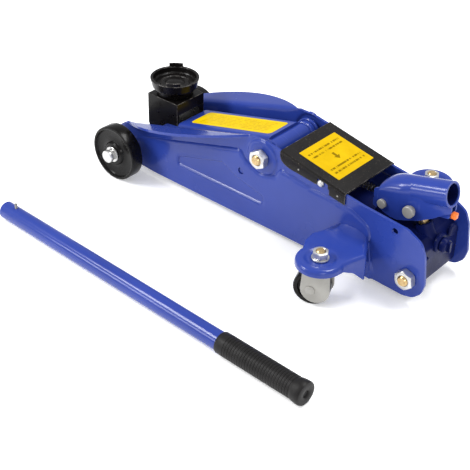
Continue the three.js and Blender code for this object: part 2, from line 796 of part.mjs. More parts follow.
function handleSocket() {
  const cheekEnd = 398;
  const front = 352;
  const tube = bar(onSocket(front), onSocket(SOCKET.mouthX), SOCKET.r, ROUND);
  const bore = bar(onSocket(front - 10), onSocket(SOCKET.mouthX + 10), SOCKET.bore, ROUND);
  const below = sheetXZ(
    polygon([
      [330, 70],
      [cheekEnd, 70],
      [cheekEnd, onSocket(cheekEnd)[2]],
      [330, onSocket(330)[2]],
    ]),
    -SOCKET.cheekIn,
    SOCKET.cheekIn,
  );
  const lip = block(404, 423.5, -SOCKET.cheekIn - 1, SOCKET.cheekIn + 1, 96, 99);
  const body = union(
    tube,
    socketCheek(SOCKET.cheekIn, SOCKET.cheekOut),
    socketCheek(-SOCKET.cheekOut, -SOCKET.cheekIn),
    lip,
  )
    .subtract(bore)
    .subtract(below);
  const reach = SOCKET.cheekOut + PAST;
  const cuts = union(
    crossBar(PUMP, -reach, reach, PUMP.bolt + GAP),
    crossBar(PLUNGER, -reach, reach, PLUNGER.pin + GAP, SMALL),
  );
  piece("handle_socket", body.subtract(cuts), bluePaint);
}

function pumpDrive() {
  const head = SOCKET.cheekOut + GAP;
  const headed = (at, shankR, headR, headHigh, facets) =>
    union(
      crossBar(at, -head - 1, head + 1, shankR, SMALL),
      crossBar(at, head, head + headHigh, headR, facets),
      crossBar(at, -head - headHigh, -head, headR, facets),
    );
  piece("socket_pivot_bolt", headed(PUMP, PUMP.bolt, 6, 3, SMALL), zinc);
  piece("plunger_pin", headed(PLUNGER, PLUNGER.pin, 7.5, 4, ROUND), zinc);
  // The pin swings on an arc and the plunger slides straight, so the eye's hole has room for both.
  const lean = THREE.MathUtils.degToRad(PLUNGER.lean);
  const eyeAt = { x: PLUNGER.x + Math.cos(lean), z: PLUNGER.z + Math.sin(lean) };
  const eye = crossBar(eyeAt, -8, 8, 9.6);
  const stem = bar(onPlunger(0), onPlunger(PLUNGER.length), PLUNGER.r);
  const pinHole = crossBar(eyeAt, -20, 20, 6.7);
  piece("pump_plunger", eye.add(stem).subtract(pinHole), yellowZinc);
  piece("socket_plug", block(423.8, 430, -3, 3, 95, 101.5), orange);
}

// ---- Loose pump handle, lying beside the jack ----

function pumpHandle() {
  const [x0, y0] = HANDLE.front;
  const [x1, y1] = HANDLE.rear;
  const length = Math.hypot(x1 - x0, y1 - y0);
  const handle = new THREE.Group();
  const tilt = Math.atan2(HANDLE.rise, length);
  handle.position.set(x0, y0, HANDLE.r + 0.1);
  handle.rotation.set(0, -tilt, Math.atan2(y1 - y0, x1 - x0), "ZYX");
  jack.add(handle);
  const gripStart = length - HANDLE.gripLength;
  const innerR = HANDLE.r - HANDLE.wall;
  const tube = bar([0, 0, 0], [length - 4, 0, 0], HANDLE.r)
    .subtract(bar([-1, 0, 0], [length, 0, 0], innerR))
    .subtract(bar([HANDLE.pinAt, 0, 0], [HANDLE.pinAt, 0, HANDLE.r + PAST], HANDLE.pinR + GAP, SMALL));
  piece("handle_tube", tube, bluePaint, handle);
  const profile = [
    [0, 0],
    [HANDLE.gripR + 1, 0],
    [HANDLE.gripR + 1, 4],
    [HANDLE.gripR, 5],
    [HANDLE.gripR, HANDLE.gripLength - 3],
    [HANDLE.r + 1, HANDLE.gripLength],
    [HANDLE.r + GAP, HANDLE.gripLength],
    [HANDLE.r + GAP, 3.5],
    [0, 3.5],
  ];
  const grip = turned(profile, [length, 0, 0], [-1, 0, 0]);
  piece("handle_grip", grip, rubber, handle);
  // The pin's wide foot stays inside the tube, under the hole that its stem stands out of.
  const upright = (z0, z1, r) => bar([HANDLE.pinAt, 0, z0], [HANDLE.pinAt, 0, z1], r, SMALL);
  const pin = union(upright(7.5, 17, HANDLE.pinR), upright(5, 8, 3.5));
  piece("handle_lock_pin", pin, steel, handle);
}

sidePlates();
frontAxle();
shaftAndBolt();
linkAnchors();
coverPlate();
powerUnit();
reservoir();
ramRod();
releaseValve();
liftArm();
levellingLinks();
saddleBracket();
saddle();
returnSprings();
frontWheels();
casterBrackets();
casterBolts();
casterForks();
handleSocket();
pumpDrive();
pumpHandle();

const bounds = new THREE.Box3().setFromObject(jack, true);
const middle = bounds.getCenter(new THREE.Vector3());
jack.position.set(-middle.x, -middle.y, -bounds.min.z);

export default jack;
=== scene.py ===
"""The looks of a 2 ton trolley jack and its loose pump handle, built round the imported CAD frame.

Shapes are drawn in millimetres in the jack's own axes: x back from the front axle, y across from the
middle plane (left side negative), z up from the floor. place() carries them into the row frame in metres.
"""

import json
import math

import bmesh
import bpy
import numpy as np
from mathutils import Matrix, Vector, kdtree
from mathutils.geometry import delaunay_2d_cdt

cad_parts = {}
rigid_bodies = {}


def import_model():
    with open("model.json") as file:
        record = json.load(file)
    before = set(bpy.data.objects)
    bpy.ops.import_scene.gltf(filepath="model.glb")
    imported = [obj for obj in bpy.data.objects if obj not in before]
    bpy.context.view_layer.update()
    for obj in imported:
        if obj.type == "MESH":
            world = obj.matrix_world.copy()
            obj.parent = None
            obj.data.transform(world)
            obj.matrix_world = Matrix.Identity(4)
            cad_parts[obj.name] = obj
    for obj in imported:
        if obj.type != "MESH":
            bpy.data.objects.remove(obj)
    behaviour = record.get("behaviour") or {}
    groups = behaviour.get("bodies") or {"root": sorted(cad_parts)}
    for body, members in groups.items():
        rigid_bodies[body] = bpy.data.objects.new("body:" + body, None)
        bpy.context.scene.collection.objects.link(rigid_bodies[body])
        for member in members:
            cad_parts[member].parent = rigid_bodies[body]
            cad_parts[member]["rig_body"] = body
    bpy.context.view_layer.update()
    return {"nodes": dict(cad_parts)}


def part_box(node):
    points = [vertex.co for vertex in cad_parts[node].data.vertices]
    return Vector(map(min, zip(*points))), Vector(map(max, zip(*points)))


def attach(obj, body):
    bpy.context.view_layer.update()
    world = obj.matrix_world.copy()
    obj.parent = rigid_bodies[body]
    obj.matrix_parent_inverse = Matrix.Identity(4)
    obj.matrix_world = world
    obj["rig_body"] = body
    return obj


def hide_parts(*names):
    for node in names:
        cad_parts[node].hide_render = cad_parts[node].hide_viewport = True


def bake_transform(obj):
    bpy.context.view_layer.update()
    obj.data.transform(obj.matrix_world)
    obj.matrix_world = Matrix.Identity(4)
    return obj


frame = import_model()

MM = 0.001
AXLE_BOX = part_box("front_axle")
ORIGIN = Vector(((AXLE_BOX[0].x + AXLE_BOX[1].x) / 2, (AXLE_BOX[0].y + AXLE_BOX[1].y) / 2, 0))
SIDES = {"left": -1, "right": 1}


# ---- Sizes shared by several pieces, in millimetres ----


def middle(node):
    """The middle of a CAD node's box, in the jack's own axes and millimetres."""
    low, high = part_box(node)
    return ((low + high) / 2 - ORIGIN) / MM


PLATE_IN, PLATE_OUT, PLATE_THICK = 41.0, 44.0, 3.0
AXLE = middle("front_axle")
LIFT = middle("lift_shaft")
REAR = middle("rear_bolt")
HEAD = middle("saddle_pivot_pin")
LINK_FRONT = middle("link_front_pin")
LINK_REAR = middle("link_anchor_pin_left")
LEVER = middle("lever_pin")
PUMP = middle("socket_pivot_bolt")
PLUNGER = middle("plunger_pin")
CASTER = middle("caster_bolt_right")
SADDLE = middle("saddle")
RAM_Z = middle("ram_gland").z
EAR_TOP = 57.0
RAISED = 2.2  # how far the side plate's pressed shape stands out
STEP = 1.2  # half the width of the slope round it


# ---- Outlines and solids: each returns (vertices, faces) ----


def rounded(corners, radius=0.0, steps=6):
    """An outline whose corners are rounded. A corner may give its own radius as a third number."""
    points = []
    for i, corner in enumerate(corners):
        here = Vector(corner[:2])
        before = Vector(corners[i - 1][:2])
        after = Vector(corners[(i + 1) % len(corners)][:2])
        r = corner[2] if len(corner) > 2 else radius
        back, ahead = (before - here), (after - here)
        half = back.angle(ahead) / 2 if back.length and ahead.length else math.pi / 2
        if r <= 0 or abs(half - math.pi / 2) < 0.02:
            points.append(tuple(here))
            continue
        cut = min(r / math.tan(half), 0.48 * back.length, 0.48 * ahead.length)
        start, end = here + back.normalized() * cut, here + ahead.normalized() * cut
        real = cut * math.tan(half)
        centre = here + (back.normalized() + ahead.normalized()).normalized() * (real / math.sin(half))
        a, b = start - centre, end - centre
        turn = a.angle_signed(b)
        for k in range(steps + 1):
            t = -turn * k / steps
            spun = Vector((a.x * math.cos(t) - a.y * math.sin(t), a.x * math.sin(t) + a.y * math.cos(t)))
            points.append(tuple(centre + spun))
    return points


def arc(cx, cy, r, start, end, steps):
    """Points on a circle from one angle to another, in degrees."""
    angles = [math.radians(start + (end - start) * k / steps) for k in range(steps + 1)]
    return [(cx + r * math.cos(a), cy + r * math.sin(a)) for a in angles]


def loops(rings, closed_path=False):
    """A skin through rings of equal length, with flat ends, or joined end to end."""
    count = len(rings[0])
    vertices = [tuple(p) for ring in rings for p in ring]
    faces = []
    last = len(rings) if closed_path else len(rings) - 1
    for i in range(last):
        a, b = i * count, ((i + 1) % len(rings)) * count
        for k in range(count):
            n = (k + 1) % count
            faces.append((a + k, a + n, b + n, b + k))
    if not closed_path:
        faces.append(tuple(range(count)))
        faces.append(tuple(len(vertices) - count + k for k in range(count)))
    return vertices, faces


def prism(outline, low, high, plane="xz"):
    """A flat outline given thickness across its plane."""
    at = {
        "xz": lambda p, t: (p[0], t, p[1]),
        "xy": lambda p, t: (p[0], p[1], t),
        "yz": lambda p, t: (t, p[0], p[1]),
    }[plane]
    return loops([[at(p, low) for p in outline], [at(p, high) for p in outline]])


def axes(direction):
    """Two directions square to the given one."""
    along = Vector(direction).normalized()
    side = along.orthogonal().normalized()
    return along, side, along.cross(side)


def lathe(profile, base, direction=(0, 1, 0), steps=56):
    """Pairs of radius and height turned round an axis. A profile that stays off the axis closes on itself."""
    along, side, up = axes(direction)
    base = Vector(base)
    vertices, faces, rings = [], [], []
    for r, h in profile:
        if r < 1e-6:
            rings.append([len(vertices)])
            vertices.append(tuple(base + along * h))
            continue
        rings.append(range(len(vertices), len(vertices) + steps))
        for k in range(steps):
            a = 2 * math.pi * k / steps
            vertices.append(tuple(base + along * h + (side * math.cos(a) + up * math.sin(a)) * r))
    pairs = list(zip(rings, rings[1:]))
    if profile[0][0] > 1e-6 and profile[-1][0] > 1e-6:
        pairs.append((rings[-1], rings[0]))
    for a, b in pairs:
        for k in range(steps):
            n = (k + 1) % steps
            if len(a) == 1 and len(b) == 1:
                continue
            if len(a) == 1:
                faces.append((a[0], b[n], b[k]))
            elif len(b) == 1:
                faces.append((a[k], a[n], b[0]))
            else:
                faces.append((a[k], a[n], b[n], b[k]))
    return vertices, faces


def rod(start, end, radius, edge=0.6, steps=48):
    """A round bar with chamfered ends."""
    start, end = Vector(start), Vector(end)
    length = (end - start).length
    profile = [
        (0, 0), (radius - edge, 0), (radius, edge), (radius, length - edge), (radius - edge, length), (0, length),
    ]
    return lathe(profile, start, end - start, steps)


def tube(start, end, outer, inner, edge=0.5):
    """A round tube with chamfered ends."""
    start, end = Vector(start), Vector(end)
    length = (end - start).length
    profile = [
        (inner, edge), (inner + edge, 0), (outer - edge, 0), (outer, edge),
        (outer, length - edge), (outer - edge, length), (inner + edge, length), (inner, length - edge),
    ]
    return lathe(profile, start, end - start)


def sweep(path, radius, sides):
    """A round section along a path."""
    points = [Vector(p) for p in path]
    rings = []
    normal = None
    for i, point in enumerate(points):
        ahead = points[min(i + 1, len(points) - 1)] - points[max(i - 1, 0)]
        along = ahead.normalized()
        if normal is None:
            normal = along.orthogonal().normalized()
        normal = (normal - along * normal.dot(along)).normalized()
        other = along.cross(normal)
        turns = [2 * math.pi * k / sides for k in range(sides)]
        rings.append([point + (normal * math.cos(a) + other * math.sin(a)) * radius for a in turns])
    return loops(rings)


def hex_nut(base, direction, flats, thick, bore, turn):
    """A hexagon nut with both faces chamfered to a cone, so that each flat ends in an arc."""
    along, side, up = axes(direction)
    base = Vector(base)
    cone, chamfer = math.tan(math.radians(30)), 0.6
    face_r = flats / 2 * 0.96
    count = 72
    rings = [[] for _ in range(6)]
    for k in range(count):
        a = 2 * math.pi * k / count + turn
        local = (a - turn) % (math.pi / 3) - math.pi / 6
        r = flats / 2 / math.cos(local)
        drop = max(0.0, (r - face_r) * cone)
        ray = side * math.cos(a) + up * math.sin(a)
        rings[0].append(base + ray * bore + along * chamfer)
        rings[1].append(base + ray * face_r)
        rings[2].append(base + ray * r + along * drop)
        rings[3].append(base + ray * r + along * (thick - drop))
        rings[4].append(base + ray * face_r + along * thick)
        rings[5].append(base + ray * (bore + chamfer) + along * thick)
    top = base + along * thick
    rings.append([top + (p - top).normalized() * bore - along * chamfer for p in rings[5]])
    return loops(rings, closed_path=True)


def box(x0, x1, y0, y1, z0, z1, radius):
    """A box whose upright edges are rounded."""
    outline = rounded([(x0, y0), (x1, y0), (x1, y1), (x0, y1)], radius)
    return prism(outline, z0, z1, "xy")


def channel(half, top, low, radius, skin, steps):
    """The closed section of a folded sheet: flat top, rounded bends and two walls down to low, as (y, z)."""
    outer = [(half, low)] + arc(half - radius, top - radius, radius, 0, 90, steps)
    inner = arc(half - radius, top - radius, radius - skin, 90, 0, steps) + [(half - skin, low)]
    return outer + [(-y, z) for y, z in reversed(outer)] + [(-y, z) for y, z in reversed(inner)] + inner


def mirror(shape, side):
    vertices, faces = shape
    return [(x, y * side, z) for x, y, z in vertices], faces


def both_sides(*shapes):
    """Each shape followed by its mirror image, left side first."""
    return [mirror(shape, side) for shape in shapes for side in (-1, 1)]


def inside(points, outline):
    """Which of the points lie inside a closed outline."""
    x, y = points[:, 0], points[:, 1]
    ring = np.array(outline)
    result = np.zeros(len(points), bool)
    for (x0, y0), (x1, y1) in zip(ring, np.roll(ring, -1, axis=0)):
        if y0 == y1:
            continue
        crosses = (y0 > y) != (y1 > y)
        result ^= crosses & (x < (x1 - x0) * (y - y0) / (y1 - y0) + x0)
    return result


def depth_in(points, outline):
    """Signed distance to a closed outline, positive inside."""
    ring = np.array(outline)
    nearest = np.full(len(points), 1e9)
    for a, b in zip(ring, np.roll(ring, -1, axis=0)):
        edge = b - a
        t = np.clip(((points - a) @ edge) / max(edge @ edge, 1e-9), 0, 1)
        nearest = np.minimum(nearest, np.linalg.norm(points - a - t[:, None] * edge, axis=1))
    return np.where(inside(points, outline), nearest, -nearest)


def smooth(t):
    t = np.clip(t, 0, 1)
    return t * t * (3 - 2 * t)


def resampled(outline, spacing):
    """The outline with no stretch longer than the spacing."""
    points = []
    for a, b in zip(outline, outline[1:] + outline[:1]):
        pieces = max(1, math.ceil(math.dist(a, b) / spacing))
        points += [tuple(Vector(a).lerp(Vector(b), k / pieces)) for k in range(pieces)]
    return points


def flat_mesh(outline, holes, creases, spacing, exact=False):
    """Triangles that fill an outline with holes, with points along each crease: (points, triangles)."""
    edge = list(outline) if exact else resampled(outline, spacing)
    rims = [edge] + holes
    points, links = [], []
    for rim in rims:
        start = len(points)
        points += rim
        links += [(start + k, start + (k + 1) % len(rim)) for k in range(len(rim))]
    ring = np.array(edge)
    low, high = ring.min(0), ring.max(0)
    extra = [p for crease in creases for p in crease]
    xs = np.arange(low[0], high[0], spacing)
    ys = np.arange(low[1], high[1], spacing)
    grid = [(x + (spacing / 2 if j % 2 else 0), y) for j, y in enumerate(ys) for x in xs]
    tree = kdtree.KDTree(len(points) + len(extra))
    for i, p in enumerate(points + extra):
        tree.insert((p[0], p[1], 0), i)
    tree.balance()
    grid = [p for p in grid if tree.find((p[0], p[1], 0))[2] > 0.55 * spacing]
    rim_tree = kdtree.KDTree(len(points))
    for i, p in enumerate(points):
        rim_tree.insert((p[0], p[1], 0), i)
    rim_tree.balance()
    extra = [p for p in extra if rim_tree.find((p[0], p[1], 0))[2] > 0.2 * spacing]
    loose = np.array(grid + extra)
    keep = inside(loose, edge)
    for hole in holes:
        keep &= ~inside(loose, hole)
    points += [tuple(p) for p in loose[keep]]
    made = delaunay_2d_cdt([Vector(p) for p in points], links, [], 0, 1e-5)
    flat = np.array([tuple(v) for v in made[0]])
    triangles = np.array([f for f in made[2] if len(f) == 3])
    centres = flat[triangles].mean(1)
    keep = inside(centres, edge)
    for hole in holes:
        keep &= ~inside(centres, hole)
    return flat, [tuple(int(i) for i in t) for t in triangles[keep]]


def beside(outline, offsets):
    """Rows of points along an outline, at the given distances to each side."""
    ring = resampled(outline, 2.5)
    rows = []
    for offset in offsets:
        row = []
        for i, point in enumerate(ring):
            along = Vector(ring[(i + 1) % len(ring)]) - Vector(ring[i - 1])
            normal = Vector((along.y, -along.x)).normalized()
            row.append(tuple(Vector(point) + normal * offset))
        rows.append(row)
    return rows


# ---- Materials ----


class Nodes:
    """A material's node tree, with a short way to add and join nodes."""

    def __init__(self, name):
        self.material = bpy.data.materials.new(name)
        self.material.use_nodes = True
        self.tree = self.material.node_tree
        self.shader = self.tree.nodes["Principled BSDF"]

    def add(self, kind, inputs=None, **settings):
        node = self.tree.nodes.new("ShaderNode" + kind)
        for key, value in settings.items():
            setattr(node, key, value)
        for key, value in (inputs or {}).items():
            self.put(node.inputs[key], value)
        return node

    def put(self, socket, value):
        if isinstance(value, bpy.types.NodeSocket):
            self.tree.links.new(value, socket)
        else:
            socket.default_value = value

    def math(self, operation, a, b=0.0, c=0.0):
        node = self.add("Math", operation=operation)
        for socket, value in zip(node.inputs, (a, b, c)):
            self.put(socket, value)
        return node.outputs[0]

    def noise(self, where, scale, detail=3.0, roughness=0.5):
        inputs = {"Vector": where, "Scale": scale, "Detail": detail, "Roughness": roughness}
        return self.add("TexNoise", inputs).outputs["Fac"]

    def ramp(self, value, low, high, to_low=0.0, to_high=1.0):
        inputs = {"Value": value, "From Min": low, "From Max": high, "To Min": to_low, "To Max": to_high}
        return self.add("MapRange", inputs).outputs["Result"]

    def mix(self, share, a, b):
        node = self.add("Mix", data_type="RGBA")
        self.put(node.inputs[0], share)
        self.put(node.inputs[6], a)
        self.put(node.inputs[7], b)
        return node.outputs[2]


def colour(red, green, blue):
    return (red, green, blue, 1.0)


def finish(
    name, dark, light, roughness, metallic=0.0, coat=0.0, shine=0.25, patch=28.0, grain=420.0,
    bump=0.05, spread=0.06, edge=None, edge_highlight_share=0.5, specks=None,
):
    """A painted, plated or moulded surface: patchy colour, uneven gloss, fine texture and painted highlights along
    its edges, in patches.
    """
    n = Nodes(name)
    where = n.add("TexCoord").outputs["Object"]
    patches = n.noise(where, patch, 4.0, 0.55)
    fine = n.noise(where, grain, 2.0, 0.5)
    tint = n.mix(n.ramp(patches, 0.3, 0.7), dark, light)
    if specks:
        dust = n.ramp(n.noise(where, 900.0, 1.0), 0.70, 0.76)
        tint = n.mix(n.math("MULTIPLY", dust, 0.5), tint, specks)
    # The edge colour is a painted highlight along sharp edges, broken into patches by noise.
    if edge:
        rounded_off = n.add("Bevel", {"Radius": 0.0009}, samples=4).outputs["Normal"]
        flat = n.add("NewGeometry").outputs["Normal"]
        facing = n.add("VectorMath", {0: rounded_off, 1: flat}, operation="DOT_PRODUCT")
        sharp = n.ramp(facing.outputs["Value"], 0.995, 0.9)
        patchy_edge_highlight = n.math("MULTIPLY", sharp, n.ramp(n.noise(where, 160.0, 4.0), 0.4, 0.6))
        tint = n.mix(n.math("MULTIPLY", patchy_edge_highlight, edge_highlight_share), tint, edge)
    n.put(n.shader.inputs["Base Color"], tint)
    uneven = n.ramp(n.noise(where, patch * 3, 3.0), 0.25, 0.75, roughness - spread, roughness + spread)
    n.put(n.shader.inputs["Roughness"], uneven)
    n.shader.inputs["Metallic"].default_value = metallic
    n.shader.inputs["Specular IOR Level"].default_value = 0.5 if metallic else shine
    n.shader.inputs["Coat Weight"].default_value = coat
    n.shader.inputs["Coat Roughness"].default_value = 0.08
    height = n.add("Bump", {"Strength": bump, "Distance": 0.0006, "Height": fine})
    n.put(n.shader.inputs["Normal"], height.outputs["Normal"])
    return n.material


def label(name, columns, rows, dark, light, ink, contrast, mark=False):
    """Yellow printed film with generic rows of bars, and a plain arrow mark where it is asked for."""
    n = Nodes(name)
    uv = n.add("UVMap").outputs["UV"]
    split = n.add("SeparateXYZ", {"Vector": uv})
    u, v = split.outputs["X"], split.outputs["Y"]
    scaled = n.math("MULTIPLY", v, rows)
    row = n.math("FLOOR", scaled)
    in_row = n.math("COMPARE", n.math("FRACT", scaled), 0.5, 0.2)
    cell = n.add("CombineXYZ", {"X": n.math("MULTIPLY", u, columns), "Y": n.math("MULTIPLY", row, 7.3)})
    words = n.ramp(n.noise(cell.outputs[0], 1.0, 1.0), 0.44, 0.47)
    margin_u = n.math("COMPARE", u, 0.5, 0.42)
    margin_v = n.math("COMPARE", v, 0.5, 0.42)
    bars = n.math("MULTIPLY", n.math("MULTIPLY", in_row, words), n.math("MULTIPLY", margin_u, margin_v))
    if mark:
        clear = n.math("SUBTRACT", 1.0, n.math("COMPARE", v, 0.5, 0.17))
        bars = n.math("MULTIPLY", bars, clear)
        across = n.math("ABSOLUTE", n.math("SUBTRACT", u, 0.5))
        up = n.math("SUBTRACT", v, 0.5)
        head = n.math("LESS_THAN", n.math("ADD", across, n.math("MULTIPLY", up, 0.8)), 0.075)
        head = n.math("MULTIPLY", head, n.math("GREATER_THAN", up, 0.0))
        stem = n.math("MULTIPLY", n.math("LESS_THAN", across, 0.028), n.math("COMPARE", up, -0.05, 0.06))
        bars = n.math("MAXIMUM", bars, n.math("MAXIMUM", head, stem))
    where = n.add("TexCoord").outputs["Object"]
    fade = n.ramp(n.noise(where, 60.0, 3.0), 0.3, 0.7)
    paper = n.mix(fade, dark, light)
    n.put(n.shader.inputs["Base Color"], n.mix(n.math("MULTIPLY", bars, contrast), paper, ink))
    n.put(n.shader.inputs["Roughness"], n.ramp(fade, 0.0, 1.0, 0.32, 0.42))
    n.shader.inputs["Specular IOR Level"].default_value = 0.03
    return n.material


# Each edge colour below is a painted highlight on that material's edges.
BLUE = finish(
    "blue_enamel", colour(0.016, 0.036, 0.225), colour(0.022, 0.047, 0.275), 0.24, coat=0.28, shine=0.17,
    patch=9.0, grain=260.0, bump=0.04, edge=colour(0.14, 0.18, 0.5), edge_highlight_share=0.35,
)
CAST_BLUE = finish(
    "blue_cast_paint", colour(0.0025, 0.005, 0.045), colour(0.005, 0.010, 0.08), 0.34, coat=0.0, shine=0.09,
    patch=20.0, grain=700.0, bump=0.35,
)
BLACK = finish(
    "black_enamel", colour(0.003, 0.0025, 0.0025), colour(0.009, 0.007, 0.006), 0.3, coat=0.1, shine=0.15,
    patch=18.0, grain=500.0, bump=0.08, edge=colour(0.3, 0.28, 0.27), edge_highlight_share=0.6,
    specks=colour(0.2, 0.17, 0.13),
)
CAST_BLACK = finish(
    "black_cast_paint", colour(0.0022, 0.0018, 0.0019), colour(0.0055, 0.0046, 0.0046), 0.3, coat=0.08,
    shine=0.13, patch=30.0, grain=650.0, bump=0.2, edge=colour(0.3, 0.28, 0.26), edge_highlight_share=0.8,
)
ZINC = finish(
    "bright_zinc", colour(0.5, 0.5, 0.5), colour(0.74, 0.73, 0.71), 0.33, metallic=0.85, patch=60.0,
    grain=300.0, bump=0.08, spread=0.08,
)
DULL_ZINC = finish(
    "dull_zinc", colour(0.27, 0.262, 0.238), colour(0.37, 0.36, 0.33), 0.42, metallic=0.2, patch=35.0,
    grain=380.0, bump=0.15, spread=0.1,
)
GOLD_ZINC = finish(
    "yellow_zinc", colour(0.42, 0.27, 0.1), colour(0.72, 0.55, 0.3), 0.3, metallic=0.9, patch=80.0,
    grain=300.0, bump=0.1, spread=0.08,
)
STEEL = finish(
    "oiled_steel", colour(0.16, 0.155, 0.15), colour(0.34, 0.33, 0.32), 0.38, metallic=1.0, patch=40.0,
    grain=300.0, bump=0.15, spread=0.1,
)
WHEEL = finish(
    "black_wheel", colour(0.002, 0.0018, 0.0018), colour(0.005, 0.0045, 0.0042), 0.26, patch=25.0, grain=380.0,
    bump=0.06, coat=0.06, shine=0.13, edge=colour(0.12, 0.12, 0.12), edge_highlight_share=0.3,
)
RUBBER = finish(
    "black_rubber", colour(0.004, 0.0035, 0.0035), colour(0.010, 0.009, 0.009), 0.46, shine=0.2, patch=40.0,
    grain=900.0, bump=0.25,
)
ORANGE = finish("orange_plastic", colour(0.75, 0.14, 0.02), colour(0.95, 0.24, 0.05), 0.35, patch=120.0)
ARM_LABEL = label(
    "arm_label", 60.0, 9.0, colour(0.58, 0.41, 0.002), colour(0.66, 0.47, 0.003), colour(0.4, 0.2, 0.0), 0.7,
)
COVER_LABEL = label(
    "cover_label", 34.0, 9.0, colour(0.54, 0.34, 0.003), colour(0.62, 0.4, 0.004), colour(0.1, 0.06, 0.0), 0.75,
    mark=True,
)


# ---- Making objects ----


def place(vertices):
    return [tuple(ORIGIN + Vector(v) * MM) for v in vertices]


def round_edges(piece, width, sharp):
    cut = piece.modifiers.new("edges", "BEVEL")
    cut.width = width * MM
    cut.segments = 3
    cut.limit_method = "ANGLE"
    cut.angle_limit = math.radians(sharp)
    cut.harden_normals = True


def make(name, shapes, material, sharp=32.0, bevel=0.0):
    """One mesh object from several closed shapes."""
    vertices, faces = [], []
    for shape_vertices, shape_faces in shapes:
        start = len(vertices)
        vertices += place(shape_vertices)
        faces += [tuple(start + i for i in f) for f in shape_faces]
    mesh = bpy.data.meshes.new(name)
    mesh.from_pydata(vertices, [], faces)
    work = bmesh.new()
    work.from_mesh(mesh)
    bmesh.ops.recalc_face_normals(work, faces=work.faces)
    work.to_mesh(mesh)
    work.free()
    mesh.polygons.foreach_set("use_smooth", [True] * len(mesh.polygons))
    mesh.set_sharp_from_angle(angle=math.radians(sharp))
    mesh.materials.append(material)
    piece = bpy.data.objects.new(name, mesh)
    bpy.context.scene.collection.objects.link(piece)
    if bevel:
        round_edges(piece, bevel, sharp)
    return piece


def stand_for(piece, *nodes):
    """The piece rides where the CAD node does and is shown in its place."""
    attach(piece, frame["nodes"][nodes[0]]["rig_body"])
    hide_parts(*nodes)
    return piece


def thicken(piece, thickness, outward, edge, sharp):
    """Gives a sheet its thickness on the inner side and rounds its edges."""
    thick = piece.modifiers.new("sheet", "SOLIDIFY")
    thick.thickness = thickness * MM
    thick.offset = -1.0 if outward else 1.0
    thick.use_even_offset = True
    round_edges(piece, edge, sharp)


def fine(node, shapes, material, sharp=32.0, bevel=0.0):
    """A detailed piece shown in place of the CAD node of that name."""
    return stand_for(make(node + "_fine", shapes, material, sharp, bevel), node)


def both(node, shapes, material, sharp=32.0, bevel=0.0):
    """The detailed piece on the right-hand side, and its mirror image on the left."""
    for name, side in SIDES.items():
        fine(f"{node}_{name}", [mirror(s, side) for s in shapes], material, sharp, bevel)


def add_detail(name, shapes, material, node, bevel=0.0):
    """An extra piece that has no CAD node of its own and rides with one."""
    piece = make(name, shapes, material, bevel=bevel)
    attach(piece, frame["nodes"][node]["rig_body"])
    return piece


# ---- Side plates ----

CREST_FRONT, CREST_REAR, CREST_SAG = -11.0, 188.0, 30.0
CREST_RISE, CREST_SLOPE = 64.8, 0.289
BEND_R = 7.0
LEAN = math.radians(83)


def crest_line(x):
    return CREST_RISE + CREST_SLOPE * x


def crest_reach(x):
    """How far the turned-out crescent stands out from the plate's inner face."""
    half = (CREST_REAR - CREST_FRONT) / 2
    radius = (half**2 + CREST_SAG**2) / (2 * CREST_SAG)
    off = min(abs(x - CREST_FRONT - half), half)
    return max(0.0, math.sqrt(radius**2 - off**2) - (radius - CREST_SAG))


def bend_radius(x):
    return min(BEND_R, 0.7 * crest_reach(x) + 0.01)


def crest_length(x):
    """Height of the flat sheet above the bend line that gives the crescent its reach."""
    r, reach = bend_radius(x), crest_reach(x)
    round_reach = r * (1 - math.cos(LEAN))
    if reach <= round_reach:
        along = r * math.acos(1 - reach / r) if r > 0.02 else 0.0
    else:
        along = r * LEAN + (reach - round_reach) / math.sin(LEAN)
    return along - r * math.tan(LEAN / 2)


def turn_out(x, height):
    """Where a point of the flat sheet goes: (outward, up) once the crescent is bent."""
    r = bend_radius(x)
    s = height - crest_line(x) + r * math.tan(LEAN / 2)
    if s <= 0 or not CREST_FRONT < x < CREST_REAR:
        return 0.0, height
    turned = min(s / r, LEAN)
    rest = max(0.0, s - r * LEAN)
    out = r * (1 - math.cos(turned)) + rest * math.sin(LEAN)
    up = r * math.sin(turned) + rest * math.cos(LEAN)
    return out, crest_line(x) - r * math.tan(LEAN / 2) + up


def plate_outline():
    steps = 44
    crest = []
    for k in range(steps + 1):
        x = CREST_REAR + (CREST_FRONT - CREST_REAR) * k / steps
        crest.append((x, crest_line(x) + crest_length(x)))
    back = rounded(
        [
            (354, 10, 30), (403, 8, 20), (416, 11, 14), (425, 20, 12), (428, 32, 14), (424, 66, 18),
            (418, 80, 14), (400, 89.5, 16), (345, 94, 30), (321, 97.4, 0), (231.8, 115.2, 0), (210, 119, 40),
            (190, 119.3, 0), (120, 60, 0), (14, 10, 0),
        ]
    )
    back = [p for p in back if p[0] > 190]
    nose = arc(AXLE.x, AXLE.z, 28.5, 112, 300, 30)
    return back + crest + nose


RAISED_AREA = rounded(
    [
        (-60, -20), (-60, 27), (174, 94.5, 7), (183, 83, 8), (206, 74.5, 16), (226, 80, 8),
        (234, 92.5, 5), (276, 86, 20), (330, 82, 16), (356, 70, 18), (352, 46, 14), (362, 22, 14), (362, -20),
    ],
    steps=8,
)
SUNK_AREA = rounded(
    [(76, 36.5, 4), (212, 36.5, 5), (211, 49, 5), (168, 60, 10), (148, 70.5, 8), (78, 50, 5)], steps=8
)


def circle(x, z, r, count=36):
    turns = [2 * math.pi * k / count for k in range(count)]
    return [(x + r * math.cos(a), z + r * math.sin(a)) for a in turns]


